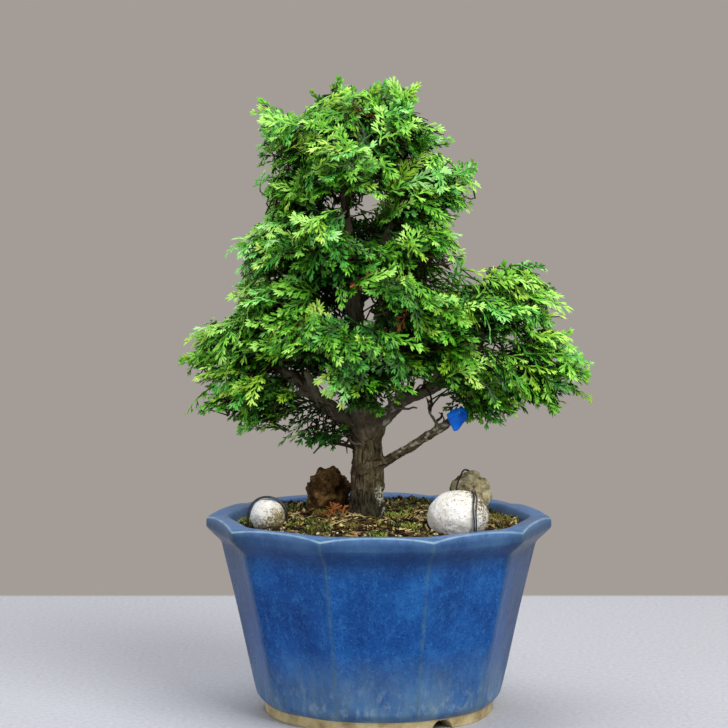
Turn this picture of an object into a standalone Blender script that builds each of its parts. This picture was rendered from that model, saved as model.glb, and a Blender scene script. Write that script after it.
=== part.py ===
"""Potted conifer: a young hinoki cypress grown as a bonsai in a ten-sided glazed pot.

Run with blender --background --python part.py, or from Blender's text editor.
Every table below is in millimetres about the pot's axis, with the bench at z = 0.
Objects are built in metres, +Z up, and at the end the whole model is moved so that its
origin lies under the middle of its bounding box.
"""
import math
import random

import bmesh
import bpy
from mathutils import Matrix, Vector
from mathutils.bvhtree import BVHTree

MM = 0.001
SEED = 41
STAPLE_STEPS = 10
GAP = 0.3                 # clearance left between pieces that touch

# Pot: a turned ten-sided bowl with an everted lip, on a low notched foot ring. One corner
# stands at POT_TURN degrees.
POT_SIDES, POT_TURN = 10, -0.9
LIP_R, LIP_Z, LIP_EDGE = 75.0, 83.6, 4.2
LIP_IN_R, LIP_IN_Z = 65.6, 84.5
BODY_TOP_R, BODY_TOP_Z = 68.2, 74.0
BODY_LOW_R, BODY_LOW_Z = 54.2, 12.0
FOOT_R, FOOT_IN_R, FOOT_H = 49.0, 41.0, 5.0
FLOOR_UNDER_Z, FLOOR_Z = 4.5, 11.0
DRAIN_R = 7.0
INNER_TOP_R, INNER_TOP_Z, INNER_LOW_R = 61.5, 77.0, 46.0
NOTCH_R, NOTCH_Z = 5.6, -1.2
NOTCH_AZIMUTHS = (-57.4, 62.6, 182.6)

# Soil: fills the pot to just under the lip and domes a little round the trunk.
SOIL_TOP_Z, SOIL_TOP_R, SOIL_EDGE_Z = 84.0, 36.0, 80.5

# Trunk: centreline points with the radius at each.
TRUNK_SIDES = 12
TRUNK = (
    ((-5.0, 6.0, SOIL_TOP_Z + GAP), 9.4),
    ((-5.0, 6.0, 87.0), 8.4),
    ((-4.9, 6.0, 94.0), 7.4),
    ((-4.8, 6.0, 103.0), 7.2),
    ((-4.8, 6.0, 112.4), 6.7),
    ((-5.6, 6.0, 121.1), 7.1),
    ((-6.3, 6.0, 128.0), 6.8),
    ((-8.0, 6.0, 143.0), 4.8),
    ((-9.3, 6.0, 164.7), 4.0),
    ((-11.5, 5.0, 186.5), 3.1),
    ((-13.6, 4.0, 208.1), 2.4),
    ((-15.6, 2.0, 229.6), 1.5),
    ((-16.4, 0.5, 246.0), 0.9),
)

# Boughs: name, limb it leaves, centreline from that limb's axis to the tip, end radii.
BOUGHS = (
    ("bough_left", "trunk",
     ((-6, 6, 117), (-13, 4, 125), (-24.4, 0, 134), (-33.9, -3, 143), (-43, -5, 149)), 4.6, 1.9),
    ("bough_left_inner", "bough_left",
     ((-24.4, 0, 134), (-28, -6, 140), (-31, -10, 148)), 2.0, 1.2),
    ("bough_right", "trunk",
     ((-4, 6, 119), (2, 6, 126), (10.2, 6, 133.4), (22.3, 4, 138.8), (30.9, 2, 144.2),
      (43.8, 0, 148), (55, -1, 148)), 3.6, 1.4),
    ("bough_right_up", "bough_right",
     ((38, 1, 146.5), (42.5, 0, 157), (45.5, 0, 165)), 1.8, 1.2),
    ("bough_right_inner", "bough_right",
     ((22.3, 4, 138.8), (24.5, 0, 145), (26, -4, 152)), 1.9, 1.2),
    ("bough_low_right", "trunk",
     ((-4, 5, 104.5), (2.5, 4, 107.6), (13.6, 0, 114.4), (28.6, -5, 124.5), (38.4, -6, 131)),
     2.4, 1.7),
    ("bough_low_right_spur", "bough_low_right",
     ((24, -3.5, 121.4), (24.6, -4, 125), (22.4, -3, 130), (21, 0, 135.4)), 0.9, 0.6),
    ("bough_front", "trunk",
     ((-6, 5, 121), (-8, -5, 129), (-11, -14, 138)), 2.4, 1.4),
    ("bough_mid_front", "trunk",
     ((-9.4, 5, 162), (-12, -4, 174), (-14, -11, 184)), 1.9, 1.2),
    ("bough_mid_left", "trunk",
     ((-8.4, 6, 147), (-17, 4, 162), (-27, 1, 176)), 2.4, 1.3),
    ("bough_mid_right", "trunk",
     ((-8.6, 6, 151), (0, 5, 165), (10, 3, 180)), 2.4, 1.3),
    ("bough_upper_left", "trunk",
     ((-11.5, 5, 187), (-18, 4, 199), (-24, 2, 209)), 1.8, 1.1),
    ("bough_upper_right", "trunk",
     ((-11.2, 5, 183), (-2, 4, 198), (8, 2, 216), (11, 1, 234)), 2.1, 1.0),
    ("bough_upper_right_side", "bough_upper_right",
     ((-2, 4, 198), (7, 2, 205), (15, 0, 212)), 1.4, 1.0),
    ("bough_left_high", "trunk",
     ((-7.4, 6, 138), (-18, 2, 151), (-29, -3, 162)), 2.2, 1.2),
    ("bough_left_low", "bough_left",
     ((-27, -1, 137), (-33, -5, 138), (-40, -8, 137)), 1.8, 1.2),
    ("bough_front_high", "trunk",
     ((-7.6, 5, 141), (-6, -6, 154), (-1, -13, 164)), 2.0, 1.2),
    ("bough_back_left", "trunk",
     ((-6.8, 6, 131), (-16, 16, 139), (-26, 22, 145)), 2.3, 1.4),
    ("bough_back_right", "trunk",
     ((-7, 6, 135), (4, 17, 143), (15, 24, 149)), 2.3, 1.4),
    ("bough_back_mid_left", "trunk",
     ((-9.8, 6, 170), (-18, 14, 180), (-25, 19, 187)), 1.8, 1.2),
    ("bough_back_mid_right", "trunk",
     ((-9.8, 6, 173), (-3, 16, 183), (3, 21, 190)), 1.8, 1.2),
)

# Foliage masses: name, limb, where the stem leaves it (a height on the trunk, None for a
# bough's tip), centre, half sizes, and the furthest tips that sprays must reach.
MASSES = (
    ("foliage_apex", "trunk", None, (-14, 0, 257), (20, 20, 18),
     ((-17, 0, 274), (-27, -3, 265))),
    ("foliage_top_left", "trunk", 221, (-34, -3, 246), (21, 21, 20),
     ((-51, -5, 263), (-52, 0, 254), (-49, -4, 242))),
    ("foliage_top_right", "bough_upper_right", None, (12, -2, 252), (23, 21, 20),
     ((15.5, -2, 270), (3, -4, 268), (33, 0, 251))),
    ("foliage_front_top", "trunk", 214, (-13, -18, 232), (21, 18, 20), ()),
    ("foliage_back_top", "trunk", 217, (-10, 23, 235), (25, 20, 23), ()),
    ("foliage_upper_left", "bough_upper_left", None, (-34, 0, 221), (20, 23, 19),
     ((-53, -2, 229), (-48, 0, 214))),
    ("foliage_upper_right", "bough_upper_right_side", None, (22, -2, 223), (21, 23, 21),
     ((41, 0, 238), (40, 0, 229), (37, 0, 207))),
    ("foliage_mid_front", "bough_mid_front", None, (-16, -23, 203), (27, 20, 18), ()),
    ("foliage_mid_left", "bough_mid_left", None, (-42, -2, 195), (22, 24, 19),
     ((-60, 0, 204), (-61, 0, 187))),
    ("foliage_mid_right", "bough_mid_right", None, (18, -4, 194), (22, 24, 20),
     ((36, 0, 195),)),
    ("foliage_front_high", "bough_front_high", None, (4, -24, 177), (25, 20, 15), ()),
    ("foliage_left_high", "bough_left_high", None, (-46, -9, 173), (21, 22, 14),
     ((-62, -6, 176),)),
    ("foliage_back_mid_left", "bough_back_mid_left", None, (-33, 29, 199), (24, 22, 23), ()),
    ("foliage_back_mid_right", "bough_back_mid_right", None, (11, 31, 201), (26, 23, 24), ()),
    ("foliage_left_outer", "bough_left", None, (-62, -5, 153), (25, 23, 16),
     ((-84.5, -5, 153), (-80, -3, 160))),
    ("foliage_left_low", "bough_left_low", None, (-56, -11, 134), (24, 20, 13),
     ((-77, -8, 131), (-74, -7, 124))),
    ("foliage_left_inner", "bough_left_inner", None, (-32, -20, 155), (22, 20, 20), ()),
    ("foliage_low_left", "trunk", 114, (-28, -4, 121), (17, 14, 9), ()),
    ("foliage_front_low", "bough_front", None, (-6, -28, 150), (21, 19, 20),
     ((-13, -28, 129),)),
    ("foliage_right_inner", "bough_right_inner", None, (27, -12, 162), (23, 23, 20), ()),
    ("foliage_right_top", "bough_right_up", None, (60, 0, 174), (25, 23, 21),
     ((59, 4, 192.5), (77, -2, 181), (85, 0, 162))),
    ("foliage_right_outer", "bough_right", None, (71, -4, 147), (23, 23, 18),
     ((91, -5, 145), (85, -5, 133))),
    ("foliage_right_low", "bough_low_right", None, (49, -10, 138), (18, 18, 16),
     ((54, -8, 124),)),
    ("foliage_back_left", "bough_back_left", None, (-42, 34, 156), (29, 26, 22),
     ((-64, 38, 152),)),
    ("foliage_back_right", "bough_back_right", None, (30, 36, 160), (29, 26, 23),
     ((55, 40, 156),)),
)
RESEEDED = {"foliage_right_outer": 1}     # masses that look better from another seed
TWIGS_PER_MASS = 4
SPRAYS_PER_MASS = 14
SPRAY_MIN, SPRAY_MAX = 7.0, 30.0
SPRAY_REACH = 0.98        # its length, as a part of the way from the middle to its tip
SPRAY_WIDTH = 1.08        # all of these three as parts of its length
SPRAY_THICK = 0.05
SPRAY_DROOP = 0.10
SPRAY_MIDDLE = 0.5        # how far along it is thickest
ROOT_CROSSINGS = 12       # most faces a spray may cut of its own mass
TWIG_R = 0.65
STEM_R = 0.95
SPACE_GROWTH = 1.07       # masses run into one another, and the planes part them
CELL_GAP = 0.35           # half of the gap kept between two masses
SLIVER = 0.003            # edges shorter than this are closed up after a union
WELD = 0.0004             # points nearer than this count as touching

# Fertiliser balls and mossy stones that lie on the soil: name, centre, half sizes.
SOIL_LUMPS = (
    ("ball_right", (33.3, -31, 88.6), (12.9, 12.2, 11)),
    ("ball_left", (-47.3, -20, 87), (7.3, 7.0, 7.2)),
    ("lump_brown", (-22.2, 26.0, 91.0), (10.0, 9.0, 11.0)),
    ("lump_grey", (40.9, 25, 90.5), (9.2, 8.6, 10)),
)
# Wire staples bent over three of them: name, what it holds, azimuth of its plane, its
# offset from the middle, and the wire's radius.
STAPLES = (
    ("wire_right", "ball_right", 90.0, -6.6, 0.55),
    ("wire_left", "ball_left", 174.0, 0.0, 0.55),
    ("wire_back", "lump_grey", 65.0, 2.5, 0.5),
)
# Blue tag: a bare strip folded to a point over the end of the low right bough. Its outline
# is a ring of corners about its middle, as (angle in degrees, distance).
TAG_THICK = 0.9
TAG_AT, TAG_TILT = (33.0, -9.3, 127.0), (84.0, 0.0, -4.0)
TAG_OUTLINE = ((32, 6.4), (62, 6.1), (96, 5.0), (150, 4.8), (222, 3.0), (262, 4.9), (285, 4.4),
               (330, 3.4), (8, 4.9))

# Colours, as sRGB bytes, with roughness.
LOOKS = {
    "glaze": ((45, 86, 148), 0.22),
    "soil": ((78, 68, 45), 0.95),
    "bark": ((86, 76, 58), 0.9),
    "foliage": ((72, 108, 42), 0.55),
    "ball": ((236, 234, 228), 0.9),
    "lump": ((74, 60, 42), 0.95),
    "wire": ((30, 32, 34), 0.5),
    "tag": ((19, 88, 195), 0.3),
}


# ------------------------------------------------------------------ scene and helpers

def clear_scene():
    """Remove every object the scene starts with."""
    for obj in list(bpy.data.objects):
        bpy.data.objects.remove(obj, do_unlink=True)


def new_collection(name):
    """Make a collection under the scene's own."""
    collection = bpy.data.collections.new(name)
    bpy.context.scene.collection.children.link(collection)
    return collection


def linear(byte):
    """Turn one sRGB byte into a linear channel."""
    value = byte / 255.0
    return value / 12.92 if value <= 0.04045 else ((value + 0.055) / 1.055) ** 2.4


def material(name, look):
    """Principled material for one object, from the table of looks."""
    colour, roughness = LOOKS[look]
    mat = bpy.data.materials.new(name)
    mat.use_nodes = True
    shader = mat.node_tree.nodes["Principled BSDF"]
    shader.inputs["Base Color"].default_value = [linear(c) for c in colour] + [1.0]
    shader.inputs["Roughness"].default_value = roughness
    shader.inputs["Metallic"].default_value = 0.0
    return mat


def add_object(name, mesh, collection, look=None):
    """Link a mesh as an object, with a material of its own where a look is given."""
    obj = bpy.data.objects.new(name, mesh)
    collection.objects.link(obj)
    if look:
        mesh.materials.clear()
        mesh.materials.append(material(name, look))
    return obj


def mesh_from(bm, name):
    """Write a bmesh, drawn in millimetres, to a mesh in metres."""
    bmesh.ops.scale(bm, vec=(MM, MM, MM), verts=bm.verts)
    mesh = bpy.data.meshes.new(name)
    bm.to_mesh(mesh)
    bm.free()
    return mesh


def hide_cutter(obj):
    """Show a cutter as wire only."""
    obj.hide_render = True
    obj.display_type = "WIRE"
    return obj


def baked(obj):
    """Swap an object's mesh for its evaluated one and drop its modifiers."""
    depsgraph = bpy.context.evaluated_depsgraph_get()
    mesh = bpy.data.meshes.new_from_object(obj.evaluated_get(depsgraph))
    obj.modifiers.clear()
    old, obj.data = obj.data, mesh
    bpy.data.meshes.remove(old)
    return obj


def cut(obj, cutter, operation="DIFFERENCE"):
    """Boolean one object with another and apply it."""
    boolean = obj.modifiers.new("cut", "BOOLEAN")
    boolean.operation = operation
    boolean.object = cutter
    return baked(obj)


def smooth(obj, degrees=40.0):
    """Shade a round piece smooth up to an edge angle."""
    obj.data.shade_smooth()
    obj.data.set_sharp_from_angle(angle=math.radians(degrees))


# ------------------------------------------------------------------ tubes

def spline_through(points, per_span=3):
    """Catmull-Rom points through a list of points."""
    knots = [Vector(p) for p in points]
    knots = [2 * knots[0] - knots[1]] + knots + [2 * knots[-1] - knots[-2]]
    path = []
    for i in range(1, len(knots) - 2):
        a, b, c, d = knots[i - 1:i + 3]
        for step in range(per_span):
            t = step / per_span
            path.append(0.5 * (2 * b + (c - a) * t + (2 * a - 5 * b + 4 * c - d) * t * t
                               + (3 * b - a - 3 * c + d) * t ** 3))
    path.append(knots[-2])
    return path


def tube_object(name, path, radii, collection, sides=8, look=None):
    """A tapering tube: a poly curve with a bevel and filled caps, made into a closed mesh."""
    curve = bpy.data.curves.new(name, "CURVE")
    curve.dimensions = "3D"
    curve.bevel_depth = MM
    curve.bevel_resolution = sides // 2 - 2
    curve.render_resolution_u = 0
    curve.use_fill_caps = True
    spline = curve.splines.new("POLY")
    spline.points.add(len(path) - 1)
    for point, place, radius in zip(spline.points, path, radii):
        point.co = (place[0] * MM, place[1] * MM, place[2] * MM, 1.0)
        point.radius = radius
    holder = bpy.data.objects.new(name + "_curve", curve)
    collection.objects.link(holder)
    depsgraph = bpy.context.evaluated_depsgraph_get()
    mesh = bpy.data.meshes.new_from_object(holder.evaluated_get(depsgraph))
    bpy.data.objects.remove(holder)
    bpy.data.curves.remove(curve)
    mesh.name = name
    bm = bmesh.new()
    bm.from_mesh(mesh)
    bmesh.ops.remove_doubles(bm, verts=bm.verts, dist=0.00001)
    bmesh.ops.recalc_face_normals(bm, faces=bm.faces)
    bm.to_mesh(mesh)
    bm.free()
    return add_object(name, mesh, collection, look)


def twig_bmesh(path, radii, sides=3):
    """A three-sided twig: circles along a path, bridged one to the next, with both ends shut."""
    bm = bmesh.new()
    loops = []
    for i, place in enumerate(path):
        before, after = path[max(i - 1, 0)], path[min(i + 1, len(path) - 1)]
        turn = (Vector(after) - Vector(before)).to_track_quat("Z", "Y").to_matrix().to_4x4()
        ring = bmesh.ops.create_circle(bm, cap_ends=False, segments=sides, radius=radii[i],
                                       matrix=Matrix.Translation(place) @ turn)["verts"]
        loops.append(ring)
    for low, high in zip(loops, loops[1:]):
        edges = [e for e in bm.edges if all(v in low or v in high for v in e.verts)]
        bmesh.ops.bridge_loops(bm, edges=edges)
    bmesh.ops.holes_fill(bm, edges=bm.edges, sides=sides)
    bmesh.ops.recalc_face_normals(bm, faces=bm.faces)
    bmesh.ops.triangulate(bm, faces=bm.faces)
    return bm


# ------------------------------------------------------------------ pot and soil

def turned(name, profile, collection, look, closed):
    """Turn a profile of (radius, height) points into a ten-sided solid."""
    mesh = bpy.data.meshes.new(name)
    count = len(profile)
    edges = [(i, (i + 1) % count) for i in range(count if closed else count - 1)]
    across, aside = math.cos(math.radians(POT_TURN)), math.sin(math.radians(POT_TURN))
    points = [(r * across * MM, r * aside * MM, z * MM) for r, z in profile]
    mesh.from_pydata(points, edges, [])
    obj = add_object(name, mesh, collection, look)
    screw = obj.modifiers.new("turn", "SCREW")
    screw.axis = "Z"
    screw.steps = screw.render_steps = POT_SIDES
    screw.use_merge_vertices = True
    screw.merge_threshold = 0.00001
    screw.use_smooth_shade = False
    return baked(obj)


def make_pot(parts, cutters):
    """Pot body, lip, foot ring with three arched notches, and drain hole."""
    profile = [
        (LIP_IN_R, LIP_IN_Z), (LIP_R - 0.9, LIP_Z + 0.1), (LIP_R, LIP_Z - 0.8),
        (LIP_R, LIP_Z - LIP_EDGE + 0.5), (LIP_R - 0.8, LIP_Z - LIP_EDGE),
        (BODY_TOP_R + 1.6, BODY_TOP_Z + 1.4), (BODY_TOP_R, BODY_TOP_Z),
        (BODY_LOW_R, BODY_LOW_Z), (BODY_LOW_R - 1.2, BODY_LOW_Z - 4.4),
        (FOOT_R + 0.8, FOOT_H), (FOOT_R, FOOT_H - 0.4), (FOOT_R - 0.5, 0),
        (FOOT_IN_R, 0), (FOOT_IN_R, FLOOR_UNDER_Z), (DRAIN_R, FLOOR_UNDER_Z),
        (DRAIN_R, FLOOR_Z), (INNER_LOW_R, FLOOR_Z), (INNER_TOP_R, INNER_TOP_Z),
    ]
    pot = turned("pot", profile, parts, "glaze", closed=True)
    for azimuth in NOTCH_AZIMUTHS:
        bm = bmesh.new()
        across = math.radians(azimuth)
        reach = (FOOT_R + FOOT_IN_R) / 2
        place = Matrix.Translation((reach * math.cos(across), reach * math.sin(across), NOTCH_Z))
        turn = Matrix.Rotation(across, 4, "Z") @ Matrix.Rotation(math.pi / 2, 4, "Y")
        bmesh.ops.create_cone(bm, cap_ends=True, segments=16, radius1=NOTCH_R, radius2=NOTCH_R,
                              depth=22.0, matrix=place @ turn)
        cutter = hide_cutter(add_object("notch", mesh_from(bm, "notch"), cutters))
        cut(pot, cutter)
    return pot


def make_soil(parts):
    """Soil filling the pot, a gap clear of its wall and floor."""
    slope = (LIP_IN_R - INNER_TOP_R) / (LIP_IN_Z - INNER_TOP_Z)
    clear = GAP * 1.15
    edge_r = INNER_TOP_R + slope * (SOIL_EDGE_Z - INNER_TOP_Z) - clear
    profile = [
        (0, SOIL_TOP_Z), (SOIL_TOP_R, SOIL_TOP_Z), (edge_r, SOIL_EDGE_Z),
        (INNER_TOP_R - clear, INNER_TOP_Z), (INNER_LOW_R - clear, FLOOR_Z + GAP),
        (0, FLOOR_Z + GAP),
    ]
    return turned("soil", profile, parts, "soil", closed=False)


# ------------------------------------------------------------------ limbs

class Limb:
    """A tapering limb: its smooth centreline, its radius along it, and its solid."""

    def __init__(self, name, path, radii, sides):
        self.name, self.path, self.radii, self.sides = name, path, radii, sides

    def build(self, name, collection, grow=0.0, look=None):
        radii = [r + grow for r in self.radii]
        return tube_object(name, self.path, radii, collection, self.sides, look)

    def at_height(self, z):
        """Centre, radius and direction where the limb passes a height."""
        for a, b, ra, rb in zip(self.path, self.path[1:], self.radii, self.radii[1:]):
            if a.z <= z <= b.z:
                t = (z - a.z) / (b.z - a.z)
                return a.lerp(b, t), ra + (rb - ra) * t, (b - a).normalized()
        raise ValueError(f"{self.name} does not pass {z}")

    def tip(self):
        """Tip, radius and direction at the limb's end."""
        return self.path[-1], self.radii[-1], (self.path[-1] - self.path[-2]).normalized()


def make_limbs(parts, cutters):
    """Trunk and boughs, each cut a gap clear of the limbs it leaves or passes."""
    path = [Vector(p) for p, _ in TRUNK]
    limbs = {"trunk": Limb("trunk", path, [r for _, r in TRUNK], TRUNK_SIDES)}
    for name, _, points, r0, r1 in BOUGHS:
        line = spline_through(points, 2)
        steps = len(line) - 1
        radii = [r0 + (r1 - r0) * (i / steps) ** 0.8 for i in range(steps + 1)]
        limbs[name] = Limb(name, line, radii, 8 if r0 > 2.2 else 6)
    guards = {}
    for name, limb in limbs.items():
        obj = limb.build(name, parts, look="bark")
        for other in ([] if name == "trunk" else touching(limb, limbs, guards)):
            cut(obj, guards[other])
        keep_largest(obj.data)
        smooth(obj, 50)
        guards[name] = hide_cutter(limb.build(name + "_guard", cutters, grow=GAP * 1.15))
    return limbs, guards


def touching(limb, limbs, guards):
    """Names of the earlier limbs that a limb comes near."""
    near = []
    for name in guards:
        other = limbs[name]
        reach = min((a - b).length - ra - rb
                    for a, ra in zip(limb.path, limb.radii)
                    for b, rb in zip(finer(other.path), finer(other.radii)))
        if reach < 2.0:
            near.append(name)
    return near


def finer(values, steps=4):
    """Values with more of them put in between by straight interpolation."""
    out = []
    for a, b in zip(values, values[1:]):
        out += [a + (b - a) * (i / steps) for i in range(steps)]
    return out + [values[-1]]


def keep_largest(mesh):
    """Drop loose scraps and sealed hollows: keep the body with the largest box."""
    bm = bmesh.new()
    bm.from_mesh(mesh)
    bm.faces.ensure_lookup_table()
    seen, bodies = set(), []
    for face in bm.faces:
        if face.index in seen:
            continue
        body, todo = [], [face]
        seen.add(face.index)
        while todo:
            current = todo.pop()
            body.append(current)
            for edge in current.edges:
                for neighbour in edge.link_faces:
                    if neighbour.index not in seen:
                        seen.add(neighbour.index)
                        todo.append(neighbour)
        bodies.append(body)
    if len(bodies) > 1:
        def span(body):
            verts = {v for f in body for v in f.verts}
            return sum(max(v.co[k] for v in verts) - min(v.co[k] for v in verts)
                       for k in range(3))
        bodies.sort(key=span, reverse=True)
        loose = [f for body in bodies[1:] for f in body]
        bmesh.ops.delete(bm, geom=loose, context="FACES")
        bm.to_mesh(mesh)
    bm.free()


# ------------------------------------------------------------------ foliage

class Space:
    """The convex room of one mass: its ellipsoid, cut by a plane against each other mass."""

    def __init__(self, index):
        self.centre = Vector(MASSES[index][3])
        self.radii = Vector(MASSES[index][4]) * SPACE_GROWTH
        self.planes = []
        for j, other in enumerate(MASSES):
            if j != index:
                away = Vector(other[3]) - self.centre
                gap, away = away.length, away.normalized()
                mine = reach_of(self.radii, away)
                theirs = reach_of(Vector(other[4]) * SPACE_GROWTH, away)
                self.planes.append((away, gap * mine / (mine + theirs) - CELL_GAP))

    def holds(self, point, beyond=1.0):
        """True where a point lies in the space, its ellipsoid grown by a factor."""
        local = point - self.centre
        if any(local.dot(away) > at for away, at in self.planes):
            return False
        return sum((local[k] / self.radii[k]) ** 2 for k in range(3)) <= beyond * beyond

    def reach(self, direction):
        """Distance from the centre to the edge of the space along a direction."""
        far = reach_of(self.radii, direction)
        for away, at in self.planes:
            lean = direction.dot(away)
            if lean > 1e-6:
                far = min(far, at / lean)
        return far


def reach_of(radii, direction):
    """Radius of an ellipsoid along a unit direction."""
    return 1.0 / math.sqrt(sum((direction[k] / radii[k]) ** 2 for k in range(3)))


def even_directions(count, spin):
    """Directions spread evenly over a sphere along a golden spiral."""
    out = []
    for k in range(count):
        z = 1 - 2 * (k + 0.5) / count
        turn = k * math.pi * (3 - math.sqrt(5)) + spin
        flat = math.sqrt(1 - z * z)
        out.append(Vector((flat * math.cos(turn), flat * math.sin(turn), z)))
    return out


def spray_outline(length):
    """Outline of a toothed spray: a stalk from a pointed root, two teeth a side, a point."""
    side = ((0.22, 0.05), (0.38, 0.36), (0.52, 0.19), (0.77, 0.42), (0.80, 0.19))
    right = [(u * length, v * length * SPRAY_WIDTH) for u, v in side]
    left = [(u, -v) for u, v in reversed(right)]
    return [(0.0, 0.0)] + right + [(length, 0.0)] + left


def spray_bmesh(root, direction, normal, length):
    """A spray blade: a double pyramid whose equator is pulled out to the toothed outline."""
    outline = spray_outline(length)
    across = direction.cross(normal).normalized()
    bm = bmesh.new()
    bmesh.ops.create_uvsphere(bm, u_segments=len(outline), v_segments=2, radius=1.0)
    poles = [v for v in bm.verts if abs(v.co.z) > 0.5]
    ring = sorted((v for v in bm.verts if abs(v.co.z) < 0.5),
                  key=lambda v: math.atan2(v.co.y, v.co.x))
    for vert, (u, v) in zip(ring, outline):
        sag = SPRAY_DROOP * length * (u / length) ** 2
        vert.co = root + direction * u + across * v - normal * sag
    for vert in poles:
        lift = SPRAY_THICK * length * math.copysign(0.5, vert.co.z)
        sag = SPRAY_DROOP * length * SPRAY_MIDDLE ** 2
        vert.co = root + direction * SPRAY_MIDDLE * length + normal * (lift - sag)
    bmesh.ops.recalc_face_normals(bm, faces=bm.faces)
    return bm


def try_spray(space, root, tip, roll, blocked, own, beyond):
    """A spray from root to tip, or None where it leaves the space or strikes something."""
    direction = tip - root
    length = direction.length
    if not SPRAY_MIN <= length <= SPRAY_MAX:
        return None
    direction.normalize()
    up = Vector((0, 0, 1)) if abs(direction.z) < 0.9 else Vector((0.6, -0.8, 0))
    normal = (up - direction * up.dot(direction)).normalized()
    normal.rotate(Matrix.Rotation(roll, 3, direction))
    bm = spray_bmesh(root, direction, normal, length)
    tree = BVHTree.FromBMesh(bm)
    if (all(space.holds(v.co, beyond) for v in bm.verts)
            and not any(tree.overlap(other) for other in blocked)
            and sum(len(tree.overlap(other)) for other in own) <= ROOT_CROSSINGS):
        return bm, tree
    bm.free()
    return None


def grow_stem(index, limbs, space):
    """Stem path and radii: off the bough's tip or the trunk's side, up to the middle."""
    _, limb_name, height, _, _, _ = MASSES[index]
    if height is None:
        foot, stem_r, along = limbs[limb_name].tip()
        foot = foot + along * GAP * 1.2
    else:
        axis, limb_r, along = limbs[limb_name].at_height(height)
        out = space.centre - axis
        out = (out - along * out.dot(along)).normalized()
        stem_r = STEM_R
        foot = axis + out * (limb_r + GAP * 1.3) + along * 1.5
        along = (out + along * 0.5).normalized()
    start = foot + along * 1.5
    bend = start.lerp(space.centre, 0.55) - Vector((0, 0, 1.0))
    path = [foot, start, bend, space.centre]
    radii = [stem_r, stem_r * 0.95, (stem_r + TWIG_R) / 2, TWIG_R]
    return path, radii


def grow_mass(index, attempt_seed, limbs, limb_trees, parts):
    """One mass: a stem, twigs that fork from it, and sprays rooted in the nearest twig."""
    name, _, _, _, _, tips = MASSES[index]
    rng = random.Random(SEED + index + 1000 * attempt_seed + 100 * RESEEDED.get(name, 0))
    space = Space(index)
    centre = space.centre
    path, radii = grow_stem(index, limbs, space)
    twigs = [twig_bmesh(path, radii)]
    trees = [BVHTree.FromBMesh(twigs[0])]
    nodes = [(path[2].lerp(path[3], t), 0) for t in (0.0, 0.5, 0.96)]
    forks = [Vector(t) - centre for t in tips]
    forks = [f.normalized() for f in forks] + even_directions(TWIGS_PER_MASS, rng.uniform(0, 6))
    for direction in forks[:max(TWIGS_PER_MASS, len(tips))]:
        far = space.reach(direction) * rng.uniform(0.30, 0.38)
        end = centre + direction * far
        start = min((n for n, k in nodes if k == 0), key=lambda n: (n - end).length)
        if (end - start).length < 3.0:
            continue
        middle = start.lerp(end, 0.5) + Vector((0, 0, -0.06 * far))
        twig = twig_bmesh((start, middle, end), (TWIG_R * 0.9, TWIG_R * 0.85, TWIG_R * 0.8))
        tree = BVHTree.FromBMesh(twig)
        if any(tree.overlap(t) for t in limb_trees + trees[1:]):
            twig.free()
            continue
        twigs.append(twig)
        trees.append(tree)
        nodes += [(start.lerp(middle, 0.8), len(trees) - 1),
                  (middle.lerp(end, 0.4), len(trees) - 1), (middle.lerp(end, 0.93), len(trees) - 1)]
    targets = [(Vector(t), 9.0) for t in tips]
    for direction in even_directions(SPRAYS_PER_MASS, rng.uniform(0, 6.28)):
        far = space.reach(direction) * rng.uniform(0.90, 0.99)
        targets.append((centre + direction * far, 1.02))
    blades = []
    used = {}
    for target, beyond in targets:
        for attempt in range(14):
            tip = target.lerp(centre, 0.03 * (attempt // 2))
            roll = math.radians(rng.uniform(-50, 50) if attempt < 8 else rng.uniform(-90, 90))
            wanted = SPRAY_REACH * (tip - centre).length
            ranked = sorted(range(len(nodes)), key=lambda k: used.get(k, 0) * 2.0
                            + abs((nodes[k][0] - tip).length - wanted))
            k = ranked[attempt % 3]
            root, own = nodes[k]
            others = [t for _, t in blades] + [t for i, t in enumerate(trees) if i != own]
            if attempt < 9:
                placed = try_spray(space, root, tip, roll, limb_trees + others, [trees[own]],
                                   beyond)
            else:
                placed = try_spray(space, root, tip, roll, limb_trees,
                                   [trees[own]] + others, beyond)
            if placed:
                blades.append(placed)
                used[k] = used.get(k, 0) + 1
                break
    return join_mass(name, twigs + [bm for bm, _ in blades], parts), len(blades)


def sound(mesh):
    """True where no two parts of a mesh touch along an edge or at a point."""
    bm = bmesh.new()
    bm.from_mesh(mesh)
    bmesh.ops.remove_doubles(bm, verts=bm.verts, dist=WELD * MM)
    whole = all(e.is_manifold for e in bm.edges) and all(v.is_manifold for v in bm.verts)
    bm.free()
    return whole


def grow_sound_mass(index, limbs, limb_trees, parts):
    """Grow a mass, with the next seed where its shapes graze one another."""
    for attempt in range(6):
        mass, count = grow_mass(index, attempt, limbs, limb_trees, parts)
        if sound(mass.data):
            break
        print("  retry", mass.name, attempt)
        if attempt < 5:
            mesh = mass.data
            bpy.data.objects.remove(mass)
            bpy.data.meshes.remove(mesh)
    return mass, count


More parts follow.
